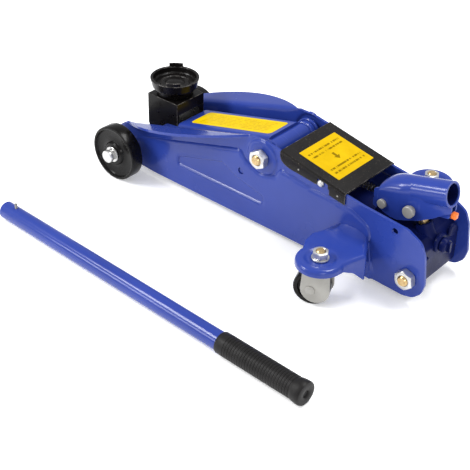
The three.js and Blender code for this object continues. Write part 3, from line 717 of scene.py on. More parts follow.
def plate_relief(points):
    """How far the pressed shape stands out of the plate at each point."""
    fade_in = smooth((points[:, 0] - 2) / 42)
    raised = RAISED * fade_in * smooth((depth_in(points, RAISED_AREA) + STEP) / (2 * STEP))
    sunk = RAISED * smooth((depth_in(points, SUNK_AREA) + STEP) / (2 * STEP))
    from_lift = np.hypot(points[:, 0] - LIFT.x, points[:, 1] - LIFT.z)
    boss = 2.0 * smooth((20.5 - from_lift) / 2.5)
    return np.maximum(raised - sunk, boss)


def side_plate():
    holes = [
        circle(AXLE.x, AXLE.z, 6.2, 28), circle(LIFT.x, LIFT.z, 8.2, 32), circle(LINK_REAR.x, LINK_REAR.z, 4.2, 20),
        circle(REAR.x, REAR.z, 6.2, 28), circle(288, 98.6, 2.6, 16), circle(385, 81, 4, 20),
    ]
    offsets = (-STEP, -STEP / 2, 0, STEP / 2, STEP)
    creases = beside(RAISED_AREA, offsets) + beside(SUNK_AREA, offsets)
    creases += [circle(LIFT.x, LIFT.z, r, 48) for r in (16, 18, 19.2, 20.5)]
    creases += [[(x, crest_line(x) + h) for x in range(-8, 186, 3)] for h in (-7, -4.5, -2.2, 0, 2.2, 4.5)]
    flat, triangles = flat_mesh(plate_outline(), holes, creases, 3.0)
    out = plate_relief(flat)
    vertices = []
    for (x, z), relief in zip(flat, out):
        aside, up = turn_out(x, z)
        vertices.append((x, PLATE_IN + relief + aside, up))
    return vertices, triangles


def side_plates():
    shape = side_plate()
    for name, side in SIDES.items():
        piece = make(f"side_plate_{name}_fine", [mirror(shape, side)], BLUE, sharp=50)
        facing_in = piece.data.polygons[0].normal.y * side < 0
        thicken(piece, PLATE_THICK, facing_in, 0.6, 50)
        stand_for(piece, f"side_plate_{name}")


# ---- Axle, shaft, bolts and nuts ----


def across(at, y0, y1, radius, edge=0.6, steps=48):
    return rod((at.x, y0, at.z), (at.x, y1, at.z), radius, edge, steps)


def collar(at, y0, y1, outer, inner, edge=0.5):
    return tube((at.x, y0, at.z), (at.x, y1, at.z), outer, inner, edge)


def thread_end(at, y0, y1, radius):
    """A bolt end with a few threads that show past its nut."""
    profile = [(0, 0), (radius - 0.5, 0)]
    pitch = 1.4
    turns = int((y1 - y0 - 1.2) / pitch)
    for k in range(turns):
        profile += [(radius, (k + 0.25) * pitch), (radius, (k + 0.45) * pitch), (radius - 0.7, (k + 0.85) * pitch)]
    length = y1 - y0
    profile += [(radius - 0.2, length - 1.2), (radius - 1.2, length), (0, length)]
    return lathe(profile, (at.x, y0, at.z), (0, 1, 0))


def axle_and_bolts():
    fine("front_axle", [across(AXLE, -89.6, 89.6, 6, 1.2)], ZINC)
    both("axle_spacer", [collar(AXLE, 44.3, 61.7, 9, 6.3)], STEEL)
    both("axle_washer", [collar(AXLE, 79.3, 81.3, 9.8, 6.2, 0.4)], ZINC)
    cap = [(0, 0), (7.3, 0), (8, 0.7), (8, 4.0), (7.5, 5.0), (6.4, 5.5), (0, 5.5)]
    both("axle_cap", [lathe(cap, (AXLE.x, 84.5, AXLE.z))], ZINC)
    shaft = [across(LIFT, -46, 46, 8)] + both_sides(thread_end(LIFT, 45, 57.2, 6))
    fine("lift_shaft", shaft, GOLD_ZINC)
    both("lift_shaft_nut", [hex_nut((LIFT.x, 46.3, LIFT.z), (0, 1, 0), 20, 8.7, 6.1, turn=0.3)], ZINC)
    bolt = [across(REAR, -44, 44, 6)] + both_sides(thread_end(REAR, 43, 55.4, 6))
    fine("rear_bolt", bolt, GOLD_ZINC)
    both("rear_nut", [hex_nut((REAR.x, 44.3, REAR.z), (0, 1, 0), 20, 8.7, 6.1, turn=0.1)], ZINC)
    both("link_anchor_pin", [across(LINK_REAR, 15, 44.6, 4)], BLUE)


# ---- Cover plate ----

COVER_FRONT, COVER_REAR, COVER_TOP, COVER_SLOPE, COVER_HALF = 231.8, 321.0, 117.1, -0.2, 45.8


def cover_top(x):
    return COVER_TOP + COVER_SLOPE * (x - COVER_FRONT)


def flap_bottom(x):
    """Lowest edge of the cover's side flaps: a curved front corner, a notch for the screw and a rear tab."""
    if x < 254:
        return 110.5 - 11.3 * math.sqrt(max(0.0, 1 - ((254 - x) / 22.2) ** 2))
    if x < 283:
        return 99.2 - (x - 254) * 0.125
    if x < 298:
        return 103.6
    if x < 300:
        return 96.0
    return 89.6 - (x - 300) * 0.17


def cover_plate():
    """The cover's section, from one flap's edge over the top to the other, at stations along it."""
    sheet, radius = 1.5, 2.6
    stations = sorted(
        [COVER_FRONT + k * 1.7 for k in range(14)]
        + [256 + k * 5 for k in range(6)]
        + [282.8, 283.2, 286, 291, 295, 297.8, 298.2, 299.8, 300.2, 305, 312, 318, COVER_REAR]
    )
    rings = []
    for x in stations:
        top = cover_top(x)
        low = min(flap_bottom(x), top - radius - 0.2)
        rings.append([(x, y, z) for y, z in channel(COVER_HALF, top, low, radius, sheet, 5)])
    fine("cover_plate", [loops(rings)], BLACK, sharp=40)


def film(corners, lift, radius):
    """A thin printed film with rounded corners over a flat four-cornered area."""
    a, b, _, d = [Vector(p) for p in corners]
    u, v = b - a, d - a
    normal = u.cross(v).normalized()
    if normal.z < 0:
        normal = -normal
    outline = rounded([(0, 0), (u.length, 0), (u.length, v.length), (0, v.length)], radius)
    flat = [a + u.normalized() * s + v.normalized() * t for s, t in outline]
    return loops([[p + normal * 0.02 for p in flat], [p + normal * lift for p in flat]])


def printed(name, corners, material, node, radius):
    piece = make(name, [film(corners, 0.22, radius)], material)
    layer = piece.data.uv_layers.new(name="print")
    a, b, _, d = [ORIGIN + Vector(p) * MM for p in corners]
    u, v = b - a, d - a
    for loop in piece.data.loops:
        p = piece.data.vertices[loop.vertex_index].co - a
        layer.data[loop.index].uv = (p.dot(u) / u.length_squared, p.dot(v) / v.length_squared)
    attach(piece, frame["nodes"][node]["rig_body"])
    return piece


def labels():
    x0, x1, half = 247, 302.3, 32
    printed(
        "cover_label",
        [(x, y, cover_top(x)) for x, y in ((x0, -half), (x0, half), (x1, half), (x1, -half))],
        COVER_LABEL, "cover_plate", 0.8,
    )
    x0, x1, half = 72, 194, 17.5
    printed(
        "arm_label",
        [(x, y, arm_top(x)) for x, y in ((x0, -half), (x1, -half), (x1, half), (x0, half))],
        ARM_LABEL, "lift_arm", 5.0,
    )


def cover_fasteners():
    dome = [(0, 0), (4.2, 0), (4.1, 0.9), (3.4, 2.0), (2.2, 2.7), (1.0, 2.95), (0, 3.0)]
    both("cover_screw", [lathe(dome, (288, 44.4, 98.6)), rod((288, 37, 98.6), (288, 45, 98.6), 2.4)], ZINC)
    dot = [(0, 0), (1.0, 0), (0.9, 0.35), (0.5, 0.55), (0, 0.6)]
    for name, side in SIDES.items():
        dots = [mirror(lathe(dot, (x, 45.8, z)), side) for x, z in ((258, 103.9), (311.4, 93))]
        add_detail(f"cover_rivets_{name}", dots, DULL_ZINC, "cover_plate")


# ---- Lift arm ----

ARM_HALF = 28.0
ARM_FRONT, ARM_REAR = 60.0, 200.0


def arm_top(x):
    return 80.5 + 0.2567 * (x - 72)


def arm_depth(x):
    """How far the arm's side walls hang below its top."""
    low_line = 50 + (x - 50) * 0.2
    low_line = max(low_line, 70 + (x - 150) * 0.26) if x > 150 else low_line
    return arm_top(x) - low_line


def arm_channel():
    skin, radius = 3.8, 6.0
    rings = []
    for k in range(30):
        x = ARM_FRONT + (ARM_REAR - ARM_FRONT) * k / 29
        top = arm_top(x)
        rings.append([(x, y, z) for y, z in channel(ARM_HALF, top, top - arm_depth(x), radius, skin, 7)])
    return loops(rings)


def flat_link(a, b, r_a, r_b, y0, y1):
    """A flat bar with round ends round two points."""
    slope = math.degrees(math.atan2(b.z - a.z, b.x - a.x))
    outline = arc(a.x, a.z, r_a, slope + 90, slope + 270, 18) + arc(b.x, b.z, r_b, slope - 90, slope + 90, 18)
    return prism(outline, y0, y1)


def lift_arm():
    nose = rounded(
        [(66, 53, 0), (66, arm_top(66) - 6, 0), (HEAD.x + 3, HEAD.z + 11.5, 4), (HEAD.x - 11, HEAD.z + 9, 12),
         (HEAD.x - 11, HEAD.z - 10, 12), (HEAD.x + 4, HEAD.z - 10.5, 6)],
    )
    shapes = [arm_channel(), across(LIFT, -40.6, 40.6, 13, 0.8, 64)]
    for side in (-1, 1):
        shapes.append(mirror(prism(nose, 24.3, ARM_HALF), side))
        shapes.append(mirror(collar(LIFT, 36.5, 40.7, 15.8, 8.3, 1.2), side))
        shapes.append(mirror(flat_link(LIFT, LEVER, 13, 9.5, 9.5, 14), side))
        shapes.append(mirror(flat_link(LIFT, Vector((217, 34, 72)), 9, 4, 32, 36), side))
        shapes.append(mirror(weld_ring(29.5, 13.2), side))
    fine("lift_arm", shapes, BLUE, sharp=38, bevel=0.7)
    fine("lever_pin", [across(LEVER, -16, 16, 5.5)], STEEL)


def weld_ring(y, radius):
    """A run of weld round the cross tube where an arm wall meets it."""
    path = []
    for k in range(73):
        a = 2 * math.pi * k / 72
        r = radius + 0.25 * math.sin(a * 24)
        path.append((LIFT.x + r * math.cos(a), y + 0.3 * math.sin(a * 9), LIFT.z + r * math.sin(a)))
    return sweep(path, 2.0, 8)


def levelling_links():
    both("link_rod", [flat_link(LINK_FRONT, LINK_REAR, 7, 7, 15.7, 19.5)], STEEL, bevel=0.5)
    fine("link_front_pin", [across(LINK_FRONT, -24.5, 24.5, 4)], STEEL)
    pin = [across(HEAD, -29, 29, 5)] + both_sides(across(HEAD, 28.3, 31, 7.5, 0.7))
    fine("saddle_pivot_pin", pin, DULL_ZINC)


# ---- Saddle and its bracket ----

BRACKET_FRONT, BRACKET_REAR, BRACKET_HALF, BRACKET_TOP = 7, 56, 23.5, 99.8


def saddle_bracket():
    """One folded sheet: top, front, rear and both side walls share their edges, then get their thickness."""
    front, rear, half, top = BRACKET_FRONT, BRACKET_REAR, BRACKET_HALF, BRACKET_TOP
    front_low, rear_low = 60, 85
    side_wall = rounded(
        [
            (front, top), (front, front_low), (9, 56, 2), (9, 25, 3), (13, 22.5, 3), (22, 22.5, 3), (27, 27, 3),
            (36, 46, 5), (48, 48, 4), (rear, 55, 3), (rear, rear_low), (rear, top),
        ]
    )
    count = len(side_wall)
    vertices = [(x, y, z) for y in (-half, half) for x, z in side_wall]
    last = count - 1
    faces = [
        tuple(range(count)), tuple(range(count, 2 * count)), (0, last, last + count, count),
        (0, 1, count + 1, count), (last - 1, last, last + count, last - 1 + count),
    ]
    piece = make("saddle_bracket_fine", [(vertices, faces)], CAST_BLACK, sharp=35)
    upward = max(piece.data.polygons, key=lambda f: f.center.z).normal.z > 0
    thicken(piece, 3.5, upward, 2.0, 35)
    stand_for(piece, "saddle_bracket")


def saddle():
    base, rim, floor = 100.4, 20.6, 12.6
    profile = [
        (0, -9), (7.5, -9), (8, -8.5), (8, -0.3), (20.5, -0.3), (22, 0.6), (23, 3.4), (24.5, 6.0), (26.6, 8.4),
        (27.6, 9.8), (28, 11.6), (29.7, rim - 1.4), (29.9, rim - 0.7), (29.3, rim), (27, rim), (26.3, rim - 0.7),
        (25.8, floor + 1.3), (24.5, floor), (18.5, floor), (17.7, floor + 0.9), (16.7, floor + 0.9), (15.9, floor),
        (12.3, floor), (11.2, floor + 0.9), (8, floor + 2.2), (4, floor + 2.9), (0, floor + 3),
    ]
    shapes = [lathe(profile, (SADDLE.x, 0, base), (0, 0, 1), 96)]
    for at in (130, 310):
        start, end = at - 17.5, at + 17.5
        outline = arc(SADDLE.x, 0, 29.4, start, end, 12) + arc(SADDLE.x, 0, 26.7, end, start, 12)
        shapes.append(prism(outline, base + rim - 1.5, base + rim + 4.2, "xy"))
    fine("saddle", shapes, CAST_BLACK, sharp=35, bevel=0.7)


# ---- Hydraulic unit ----


PLUNGER_LEAN = math.radians(27.6)
VALVE = middle("release_valve")


def on_plunger(distance):
    return (PLUNGER.x + distance * math.sin(PLUNGER_LEAN), 0, PLUNGER.z - distance * math.cos(PLUNGER_LEAN))


def power_unit():
    casting = rounded(
        [(340, 13, 3), (348, 10, 4), (406, 10, 5), (413, 17, 6), (413, 58, 6), (404, 66, 6), (340, 66, 2)]
    )
    shapes = [
        prism(casting, -40.5, 40.5),
        prism(rounded([(341, 62), (359, 62), (359, 88, 9), (350, 97, 9), (341, 88, 9)]), -12.5, 12.5),
        tube(on_plunger(19.5), on_plunger(42), 10, 5.9, 1.0),
        rod((411, VALVE.y, VALVE.z), (416.5, VALVE.y, VALVE.z), 11, 1.5),
        rod((411, -24, 47), (417, -24, 47), 5, 1.2),
        rod((411, 26, 62), (415.5, 26, 62), 7.5, 1.5),
    ]
    fine("power_unit_base", shapes, CAST_BLUE, sharp=38, bevel=1.4)
    fine("reservoir_tube", [tube((258, 0, RAM_Z), (339.7, 0, RAM_Z), 25.5, 22.5, 0.6)], CAST_BLUE)
    gland = [
        (9.1, 0.8), (9.9, 0), (24.5, 0), (25.5, 1), (25.5, 6.7), (22.2, 6.7), (22.2, 12), (9.9, 12), (9.1, 11.2),
    ]
    fine("ram_gland", [lathe(gland, (251, 0, RAM_Z), (1, 0, 0))], STEEL)
    fine("hydraulic_cylinder", [tube((263.3, 0, RAM_Z), (344.5, 0, RAM_Z), 14, 9.1)], STEEL)
    plug = [(0, -3), (4, -3), (4, 5.3), (6, 5.3), (6, 8), (5, 9), (0, 9)]
    fine("filler_plug", [lathe(plug, (300, 0, 73 + 3), (0, 0, 1))], RUBBER)


def ram_rod():
    eye_low, eye_high = RAM_Z - 15, RAM_Z + 15
    slot = rounded(
        [(LEVER.x - 6.9, RAM_Z - 10.9), (LEVER.x + 6.9, RAM_Z - 10.9), (LEVER.x + 6.9, RAM_Z + 10.9),
         (LEVER.x - 6.9, RAM_Z + 10.9)], 6.9, 8,
    )
    outline = rounded([(222, eye_low), (250, eye_low), (250, eye_high), (222, eye_high)], 5)
    flat, triangles = flat_mesh(outline, [slot], [], 4.0)
    count = len(flat)
    vertices = [(x, -8.4, z) for x, z in flat] + [(x, 8.4, z) for x, z in flat]
    faces = triangles + [tuple(i + count for i in reversed(t)) for t in triangles]
    for rim in (resampled(outline, 4.0), slot):
        ids = [int(np.argmin(np.hypot(flat[:, 0] - x, flat[:, 1] - z))) for x, z in rim]
        faces += [(a, b, b + count, a + count) for a, b in zip(ids, ids[1:] + ids[:1])]
    shapes = [(vertices, faces), rod((248, 0, RAM_Z), (330, 0, RAM_Z), 8.8)]
    fine("ram_rod", shapes, ZINC, sharp=38)


def release_valve():
    x0 = 417.0
    profile = [(0, -9), (5, -9), (5, 0), (8, 0.3), (8.3, 1.5), (8.3, 5), (7.2, 7), (3, 7.4), (0, 7.4)]
    shapes = [
        lathe(profile, (x0, VALVE.y, VALVE.z), (1, 0, 0)),
        prism(rounded([(VALVE.y - 2, VALVE.z - 6.5), (VALVE.y + 2, VALVE.z - 6.5), (VALVE.y + 2, VALVE.z + 6.5),
                       (VALVE.y - 2, VALVE.z + 6.5)], 1.5), x0 + 6, x0 + 10.4, "yz"),
    ]
    fine("release_valve", shapes, CAST_BLUE, bevel=0.4)


def return_springs():
    """Real coils with a straight hook at each end."""
    start, end = Vector((222, 34, 71)), Vector((338.5, 34, 60))
    along = (end - start).normalized()
    _, side, up = axes(along)
    turns, radius, wire = 26, 4.6, 0.9
    lead = 8.0
    length = (end - start).length - 2 * lead
    path = [start + along * 1.0]
    steps = turns * 14
    for k in range(steps + 1):
        a = 2 * math.pi * turns * k / steps
        path.append(start + along * (lead + length * k / steps) + (side * math.cos(a) + up * math.sin(a)) * radius)
    path.append(end - along * 1.0)
    coil = sweep(path, wire, 7)
    for name, side_sign in SIDES.items():
        piece = make(f"return_spring_{name}_fine", [mirror(coil, side_sign)], STEEL)
        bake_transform(piece)
        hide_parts(f"return_spring_{name}")


# ---- Wheels and casters ----


def front_wheel():
    inner, outer = 62.0, 79.0
    profile = [
        (6.3, inner + 0.5), (6.8, inner), (12, inner), (12.6, inner + 0.6), (13.4, inner + 4), (25, inner + 4.4),
        (27, inner + 0.6), (27.6, inner), (33.3, inner), (34.1, inner + 0.4), (34.5, inner + 1.4),
        (34.5, outer - 1.6), (34.1, outer - 0.5), (33.2, outer), (32.0, outer), (31.3, outer - 0.4),
        (30.6, outer - 2.2), (29.6, outer - 3.4), (27.6, outer - 3.8), (22, outer - 4.2), (16.6, outer - 4.0),
        (15.2, outer - 3.2), (14.2, outer - 1.3), (13.4, outer - 0.5), (12.4, outer - 0.2), (9.0, outer - 0.2),
        (8.2, outer - 1.0), (6.9, outer - 1.0), (6.3, outer - 1.6),
    ]
    return lathe(profile, (AXLE.x, 0, AXLE.z), (0, 1, 0), 120)


CASTER_TRAIL, CASTER_YAW, CASTER_R = 6.0, 22.0, 20.0


def swung(shape):
    """The shape turned about the caster's swivel axis, as the caster stands."""
    vertices, faces = shape
    spin = Matrix.Rotation(math.radians(-CASTER_YAW), 4, "Z")
    pivot = Vector((CASTER.x, CASTER.y, 0))
    return [tuple(spin @ (Vector(v) - pivot) + pivot) for v in vertices], faces


def caster_wheel():
    half = 7.5
    x, y = CASTER.x - CASTER_TRAIL, CASTER.y
    profile = [
        (3.8, -half), (7, -half), (7.6, -half + 0.5), (8, -half + 2), (14, -half + 2), (14.8, -half + 0.4),
        (15.4, -half), (18.4, -half), (19.6, -half + 0.6), (20, -half + 1.8),
    ]
    profile += [(r, -h) for r, h in reversed(profile)]
    return lathe(profile, (x, y, CASTER_R), (0, 1, 0), 90)


def caster_fork():
    x, y = CASTER.x, CASTER.y
    cheek = [(x + 14, 45), (x - 15.5, 45)] + arc(x - 1, CASTER_R + 1, 16, 172, 368, 48)
    shapes = [
        prism(cheek, y + 8.2, y + 10.7),
        prism(cheek, y - 10.7, y - 8.2),
        box(x - 15.5, x + 13.5, y - 10.7, y + 10.7, 42, 45.2, radius=2),
        tube((x, y, 42.2), (x, y, 49), 15, 5.3, 1.2),
        tube((x, y, 48.5), (x, y, 53.6), 11, 5.3, 1.0),
    ]
    return shapes


EAR_R, EAR_ROLL, EAR_SKIN = 26.5, 4.5, 3.0
FLARE = {"middle": 334.0, "half": 30.0, "high": 9.0, "wide": 24.0}
REAR_HEM = ((46, 31), (58, 30), (64, 26.5), (76, 26), (82, 38), (90, 43.5), (100, 47.5), (106, 49))


def ear_outline(inset):
    """Outline of the caster bracket's top, from the plate round the nose and back."""
    nose = arc(CASTER.x, CASTER.y, EAR_R - inset, 188, -14, 44)
    front = rounded(
        [(316 + inset, PLATE_OUT, 0), (306 + inset, 63, 9), (301.3 + inset, 74, 9), (303.5 + inset, 88, 9),
         (*nose[0], 0)]
    )
    rear = rounded([(*nose[-1], 0), (366 - inset, 85, 16), (370.5 - inset, 70, 3), (355 - inset, PLATE_OUT, 0)])
    return front[:-1] + nose + rear[1:]


def ear_hem(x, y):
    """The height where the turned-down rim ends. It reaches lower along the rear side."""
    if x > CASTER.x + 10:
        return float(np.interp(y, *zip(*REAR_HEM)))
    return float(np.interp(y, (46, 70, 90), (40, 47, 49)))


def ear_rise(points):
    """Height of the bracket's top: a flare up the plate and a shallow dish round the bolt."""
    x, y = points[:, 0], points[:, 1]
    width = smooth(1.25 * (1 - np.abs(x - FLARE["middle"]) / FLARE["half"]))
    t = np.clip((y - PLATE_OUT - RAISED) / FLARE["wide"], 0, 1)
    flare = FLARE["high"] * width * (1 - np.sqrt(1 - (1 - t) ** 2))
    dish = 1.4 * smooth((17.5 - np.hypot(x - CASTER.x, y - CASTER.y)) / 3.0)
    return flare - dish


def ear_top():
    """The bracket's formed sheet: a turned-down rim, rolled over into the top."""
    edge = np.array(ear_outline(EAR_ROLL))
    rise = ear_rise(edge)
    outer = ear_outline(0)
    rings = [[(x, y, ear_hem(x, y)) for x, y in outer]]
    for k in range(7):
        a = math.radians(15 * k)
        share = math.sin(a)
        ring = ear_outline(EAR_ROLL * (1 - math.cos(a)))
        rings.append([(x, y, EAR_TOP - EAR_ROLL * (1 - share) + r * share) for (x, y), r in zip(ring, rise)])
    outline = [(p[0], p[1]) for p in rings[-1]]
    creases = [circle(CASTER.x, CASTER.y, r, 40) for r in (13, 14.5, 16, 17.5)]
    flat, triangles = flat_mesh(outline, [circle(CASTER.x, CASTER.y, 5.4, 24)], creases, 3.0, exact=True)
    vertices = [(x, y, EAR_TOP + r) for (x, y), r in zip(flat, ear_rise(flat))]
    faces = list(triangles)
    start, count = len(vertices), len(outline)
    for ring in rings:
        vertices += ring
    for i in range(len(rings) - 1):
        a, b = start + i * count, start + (i + 1) * count
        faces += [(a + k, a + k + 1, b + k + 1, b + k) for k in range(count - 1)]
    return vertices, faces


def caster_brackets():
    vertices, faces = ear_top()
    gusset = rounded(
        [(314, 55, 2), (314, 44, 8), (322, 30, 14), (346, 24, 10), (359.5, 15, 3), (361, 32, 6), (357, 55, 2)]
    )
    for name, side in SIDES.items():
        shell = make(f"caster_bracket_{name}_fine", [mirror((vertices, faces), side)], BLUE, sharp=45)
        work = bmesh.new()
        work.from_mesh(shell.data)
        bmesh.ops.remove_doubles(work, verts=work.verts, dist=0.05 * MM)
        bmesh.ops.recalc_face_normals(work, faces=work.faces)
        top = max(work.faces, key=lambda f: f.calc_center_median().z)
        upward = top.normal.z > 0
        work.to_mesh(shell.data)
        work.free()
        thicken(shell, EAR_SKIN, upward, 0.6, 50)
        stand_for(shell, f"caster_bracket_{name}")
        web = [mirror(prism(gusset, PLATE_OUT + 0.3, PLATE_OUT + 3.3), side)]
        add_detail(f"caster_bracket_web_{name}", web, BLUE, f"caster_bracket_{name}", bevel=0.8)


def casters():
    caster_brackets()
    x, y = CASTER.x, CASTER.y
    both("caster_bolt", [rod((x, y, 42.6), (x, y, 66.5), 5, 1.0)], GOLD_ZINC)
    nut = [
        tube((x, y, EAR_TOP - 1.0), (x, y, EAR_TOP + 1.2), 9.6, 5.2, 0.5),
        hex_nut((x, y, EAR_TOP + 1.2), (0, 0, 1), 15.6, 7.2, 5.1, turn=0.25),
    ]
    both("caster_nut", nut, ZINC)
    both("caster_fork", [swung(s) for s in caster_fork()], DULL_ZINC, sharp=35, bevel=0.6)
    rivet = [(0, 0), (5.5, 0), (5.3, 1.0), (4.2, 1.9), (2.0, 2.2), (0, 2.25)]
    wheel_x = x - CASTER_TRAIL
    axle = [
        rod((wheel_x, y - 11, CASTER_R), (wheel_x, y + 11, CASTER_R), 3.5),
        lathe(rivet, (wheel_x, y + 10.8, CASTER_R), (0, 1, 0)),
        lathe(rivet, (wheel_x, y - 10.8, CASTER_R), (0, -1, 0)),
    ]
    both("caster_axle", [swung(s) for s in axle], DULL_ZINC)
    both("caster_wheel", [swung(caster_wheel())], WHEEL)
    both("front_wheel", [front_wheel()], WHEEL)


# ---- Handle socket and pump ----

SOCKET_RISE = math.tan(math.radians(15))
MOUTH = Vector((421.7, 0, 121.8))
SOCKET_FRONT, SOCKET_HALF, TUBE_FRONT, TUBE_R, TUBE_BORE, HOOD_SKIN = 343.0, 17.0, 368.0, 14.2, 11.5, 2.2
SKIRT_LOW = (
    (343, 82), (345, 81.5), (352, 78), (361, 75.5), (370, 75.5), (378, 77.3), (390, 82.3), (405, 91.3), (416, 99.3),
    (424, 103),
)


def socket_centre(x):
    return MOUTH.z - (MOUTH.x - x) * SOCKET_RISE


def hood_half(x):
    """Half of the hood's section at x, from its low edge up the side to its crown, as (y, z)."""
    centre = socket_centre(x)
    narrow = float(smooth((x - 366) / 18))
    half = SOCKET_HALF - 3.2 * narrow
    drop = 6.5 * max(0.0, 1 - (x - SOCKET_FRONT) / 25) ** 3
    high = 14.4 - 0.6 * narrow - drop
    keel = min(half, SOCKET_HALF - 12 * max(0.0, x - 378) / 46)
    low = float(np.interp(x, *zip(*SKIRT_LOW)))
    tuck = math.acos(keel / half)
    neck = centre - half * math.sin(tuck)
    line = [(keel, low + (neck - low) * k / 6) for k in range(6)]
    line += [(half * math.cos(a), centre + half * math.sin(a)) for a in (-tuck * (1 - k / 6) for k in range(6))]
    line += [(half * math.cos(a), centre + high * math.sin(a)) for a in (math.pi / 2 * k / 12 for k in range(13))]
    return line


def inset_line(line, skin):
    """The same half section moved inwards by the sheet's thickness."""
    result = []
    for i, point in enumerate(line):
        before, after = Vector(line[max(i - 1, 0)]), Vector(line[min(i + 1, len(line) - 1)])
        along = (after - before).normalized() if (after - before).length > 1e-6 else Vector((0, 1))
        result.append((max(0.0, point[0] - along.y * skin), point[1] + along.x * skin))
    return result


def hood():
    """The pressed hood: a sheet round the pivot that narrows into a keel under the tube."""
    rings = []
    steps = 44
    for k in range(steps + 1):
        x = SOCKET_FRONT + (MOUTH.x - SOCKET_FRONT) * k / steps
        centre = socket_centre(x)
        lean = SOCKET_RISE * 0.9 * float(smooth((x - 376) / 30))
        outer = hood_half(x)
        inner = inset_line(outer, HOOD_SKIN)
        section = outer + [(-y, z) for y, z in reversed(outer[:-1])]
        section += list(reversed(inner + [(-y, z) for y, z in reversed(inner[:-1])]))
        rings.append([(x - max(-TUBE_R, min(TUBE_R, z - centre)) * lean, y, z) for y, z in section])
    return loops(rings)


def socket():
    tab = rounded(
        [(SOCKET_FRONT, 79.5, 0), (SOCKET_FRONT, 104, 0), (338, 102, 3), (338, 93, 0.5),
         (339.6, 91.5, 0.5), (338, 90, 0.5), (338, 81, 3)]
    )
    tube_front = Vector((TUBE_FRONT, 0, socket_centre(TUBE_FRONT)))
    lip = rounded([(400, 92.5, 3), (409, 92, 3), (423.6, 95, 1.5), (423.6, 99.6, 1.5), (412, 101, 3), (402, 98, 3)])
    shapes = [hood(), tube(tube_front, MOUTH, TUBE_R, TUBE_BORE, 0.6), prism(lip, -5, 5)]
    shapes += both_sides(prism(tab, SOCKET_HALF - HOOD_SKIN, SOCKET_HALF))
    fine("handle_socket", shapes, BLUE, sharp=40)
    small_head = [(0, 0), (5.2, 0), (5.2, 2.7), (4.7, 3.2), (0, 3.2)]
    big_head = [(0, 0), (6.8, 0), (6.8, 3.5), (6.1, 4.2), (0, 4.2)]
    pins = (("socket_pivot_bolt", PUMP, small_head, 4), ("plunger_pin", PLUNGER, big_head, 5))
    for node, at, head, radius in pins:
        shapes = [across(at, -18, 18, radius)] + both_sides(lathe(head, (at.x, SOCKET_HALF + 0.3, at.z)))
        fine(node, shapes, DULL_ZINC)
    # A dark liner and end wall inside the open tube: painted shade for its bore.
    bore_end = Vector((MOUTH.x - 1.5, 0, socket_centre(MOUTH.x - 1.5)))
    shade_liner = [(0, 0), (TUBE_BORE - 0.05, 0), (TUBE_BORE - 0.05, (bore_end - tube_front).length)]
    shade_liner += [(TUBE_BORE - 0.3, shade_liner[-1][1]), (TUBE_BORE - 0.3, 1), (0, 1)]
    add_detail("socket_bore_painted_shade", [lathe(shade_liner, tube_front, bore_end - tube_front)], CAST_BLUE, "handle_socket")
    fine("socket_plug", [box(423.8, 430, -3.2, 3.2, 95, 101.5, radius=1)], ORANGE, bevel=1.1)
    eye_x, eye_z = PLUNGER.x + math.cos(PLUNGER_LEAN), PLUNGER.z + math.sin(PLUNGER_LEAN)
    direction = Vector(on_plunger(1)) - Vector(on_plunger(0))
    shapes = [
        tube((eye_x, -8, eye_z), (eye_x, 8, eye_z), 9.6, 6.6),
        lathe([(0, 8.5), (5.5, 8.5), (5.5, 36), (4.5, 37), (0, 37)], on_plunger(0), direction),
    ]
    fine("pump_plunger", shapes, GOLD_ZINC)


# ---- Loose pump handle ----


def handle():
    """The handle's tube, ribbed grip and spring pin, along the line between its two ends."""
    low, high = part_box("handle_tube")
    grip_low, grip_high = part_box("handle_grip")
    first = Vector((low.x, high.y - 10.5 * MM, 10.6 * MM))
    last = Vector((grip_high.x, grip_low.y + 13.2 * MM, 13.3 * MM))
    start, end = (first - ORIGIN) / MM, (last - ORIGIN) / MM
    along = (end - start).normalized()
    length = (end - start).length
    outer, inner = 10.5, 9.0
    profile = [
        (inner, 0.6), (inner + 0.5, 0.1), (outer - 0.7, 0.1), (outer, 0.9), (outer, length - 5),
        (inner, length - 5),
    ]
    fine("handle_tube", [lathe(profile, start, along, 72)], BLUE)
    grip_start = length - 110.0
    rings = 26
    grip = [(outer + 0.2, grip_start), (11.3, grip_start), (11.9, grip_start + 1.0), (12.0, grip_start + 6)]
    pitch = (110.0 - 22.0) / rings
    for k in range(rings):
        h = grip_start + 9 + k * pitch
        grip += [(12.0, h), (12.0, h + pitch * 0.55), (11.5, h + pitch * 0.68), (11.5, h + pitch * 0.88)]
    grip += [
        (12.2, length - 12), (12.6, length - 10), (13.1, length - 6), (13.1, length - 2), (12.4, length - 0.5),
        (11.0, length - 0.1), (5.0, length - 0.1), (4.2, length - 0.6), (3.6, length - 2), (0, length - 2),
        (0, length - 4.2), (outer + 0.2, length - 4.2),
    ]
    fine("handle_grip", [lathe(grip, start, along, 72)], RUBBER, sharp=40)
    pin_at = start + along * 20
    pin = [(0, 5), (3.4, 5), (3.4, 8), (1.6, 8.3), (1.6, 16), (1.1, 16.8), (0, 17)]
    fine("handle_lock_pin", [lathe(pin, pin_at, (0, 0, 1), 28)], STEEL)


# ---- Build ----

side_plates()
axle_and_bolts()
cover_plate()
cover_fasteners()
lift_arm()
levelling_links()
labels()
saddle_bracket()
saddle()
power_unit()
ram_rod()
release_valve()
return_springs()
casters()
socket()
handle()


# ---- Stage, light and camera ----


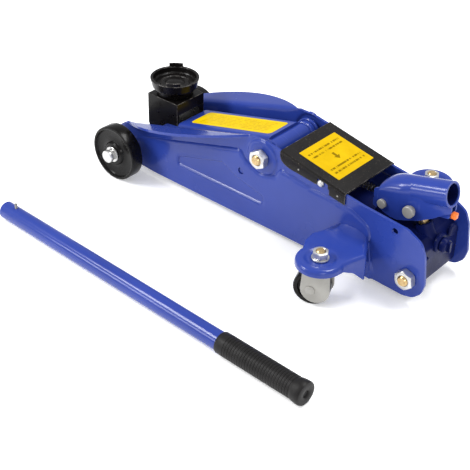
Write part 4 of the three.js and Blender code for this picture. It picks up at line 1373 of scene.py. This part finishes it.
def studio():
    size = 6.0
    mesh = bpy.data.meshes.new("floor")
    mesh.from_pydata([(-size, -size, 0), (size, -size, 0), (size, size, 0), (-size, size, 0)], [], [(0, 1, 2, 3)])
    n = Nodes("pale_floor")
    where = n.add("TexCoord").outputs["Object"]
    tint = n.mix(n.noise(where, 3.0), colour(0.9, 0.9, 0.9), colour(0.94, 0.94, 0.94))
    n.put(n.shader.inputs["Base Color"], tint)
    n.shader.inputs["Roughness"].default_value = 0.9
    n.shader.inputs["Emission Color"].default_value = (1, 1, 1, 1)
    n.shader.inputs["Emission Strength"].default_value = 0.3
    mesh.materials.append(n.material)
    floor = bpy.data.objects.new("floor", mesh)
    bpy.context.scene.collection.objects.link(floor)
    floor.location.z = -0.0004
    world = bpy.data.worlds.new("studio")
    bpy.context.scene.world = world
    world.use_nodes = True
    world.node_tree.nodes["Background"].inputs["Color"].default_value = (0.96, 0.97, 1.0, 1)
    world.node_tree.nodes["Background"].inputs["Strength"].default_value = 0.62
    lights = (
        ("key", (-1.0, -1.0, 1.35), 0.6, 0.5, 20),
        ("front", (-0.85, -1.25, 0.5), 0.6, 0.25, 6),
        ("top", (0.35, 0.6, 1.8), 1.2, 0.5, 26),
        ("fill", (1.4, -1.0, 0.9), 0.5, 0.5, 7),
    )
    for name, at, width, height, power in lights:
        data = bpy.data.lights.new(name, "AREA")
        data.shape = "RECTANGLE"
        data.size, data.size_y, data.energy = width, height, power
        lamp = bpy.data.objects.new(name, data)
        bpy.context.scene.collection.objects.link(lamp)
        lamp.location = at
        lamp.rotation_mode = "QUATERNION"
        lamp.rotation_quaternion = (Vector((0, 0, 0.05)) - Vector(at)).to_track_quat("-Z", "Y")


def camera():
    """The camera stands in front of the left side, behind the jack's middle, and looks slightly down."""
    azimuth, elevation, roll = math.radians(40.2467), math.radians(34.4879), math.radians(1.5091)
    target = Vector((131.78, 0, -63.99))
    distance = 1386.9
    back = Vector(
        (math.sin(azimuth) * math.cos(elevation), -math.cos(azimuth) * math.cos(elevation), math.sin(elevation))
    )
    level = Vector((math.cos(azimuth), math.sin(azimuth), 0))
    rise = back.cross(level)
    right = level * math.cos(roll) + rise * math.sin(roll)
    up = rise * math.cos(roll) - level * math.sin(roll)
    data = bpy.data.cameras.new("camera")
    data.sensor_width = 36.0
    data.lens = data.sensor_width * 2.354
    cam = bpy.data.objects.new("camera", data)
    bpy.context.scene.collection.objects.link(cam)
    place_at = ORIGIN + (target + back * distance) * MM
    cam.matrix_world = Matrix.Translation(place_at) @ Matrix((right, up, back)).transposed().to_4x4()
    data.clip_start, data.clip_end = 0.05, 20
    bpy.context.scene.camera = cam


studio()
camera()
bpy.context.scene.view_settings.view_transform = "Standard"
bpy.context.view_layer.update()
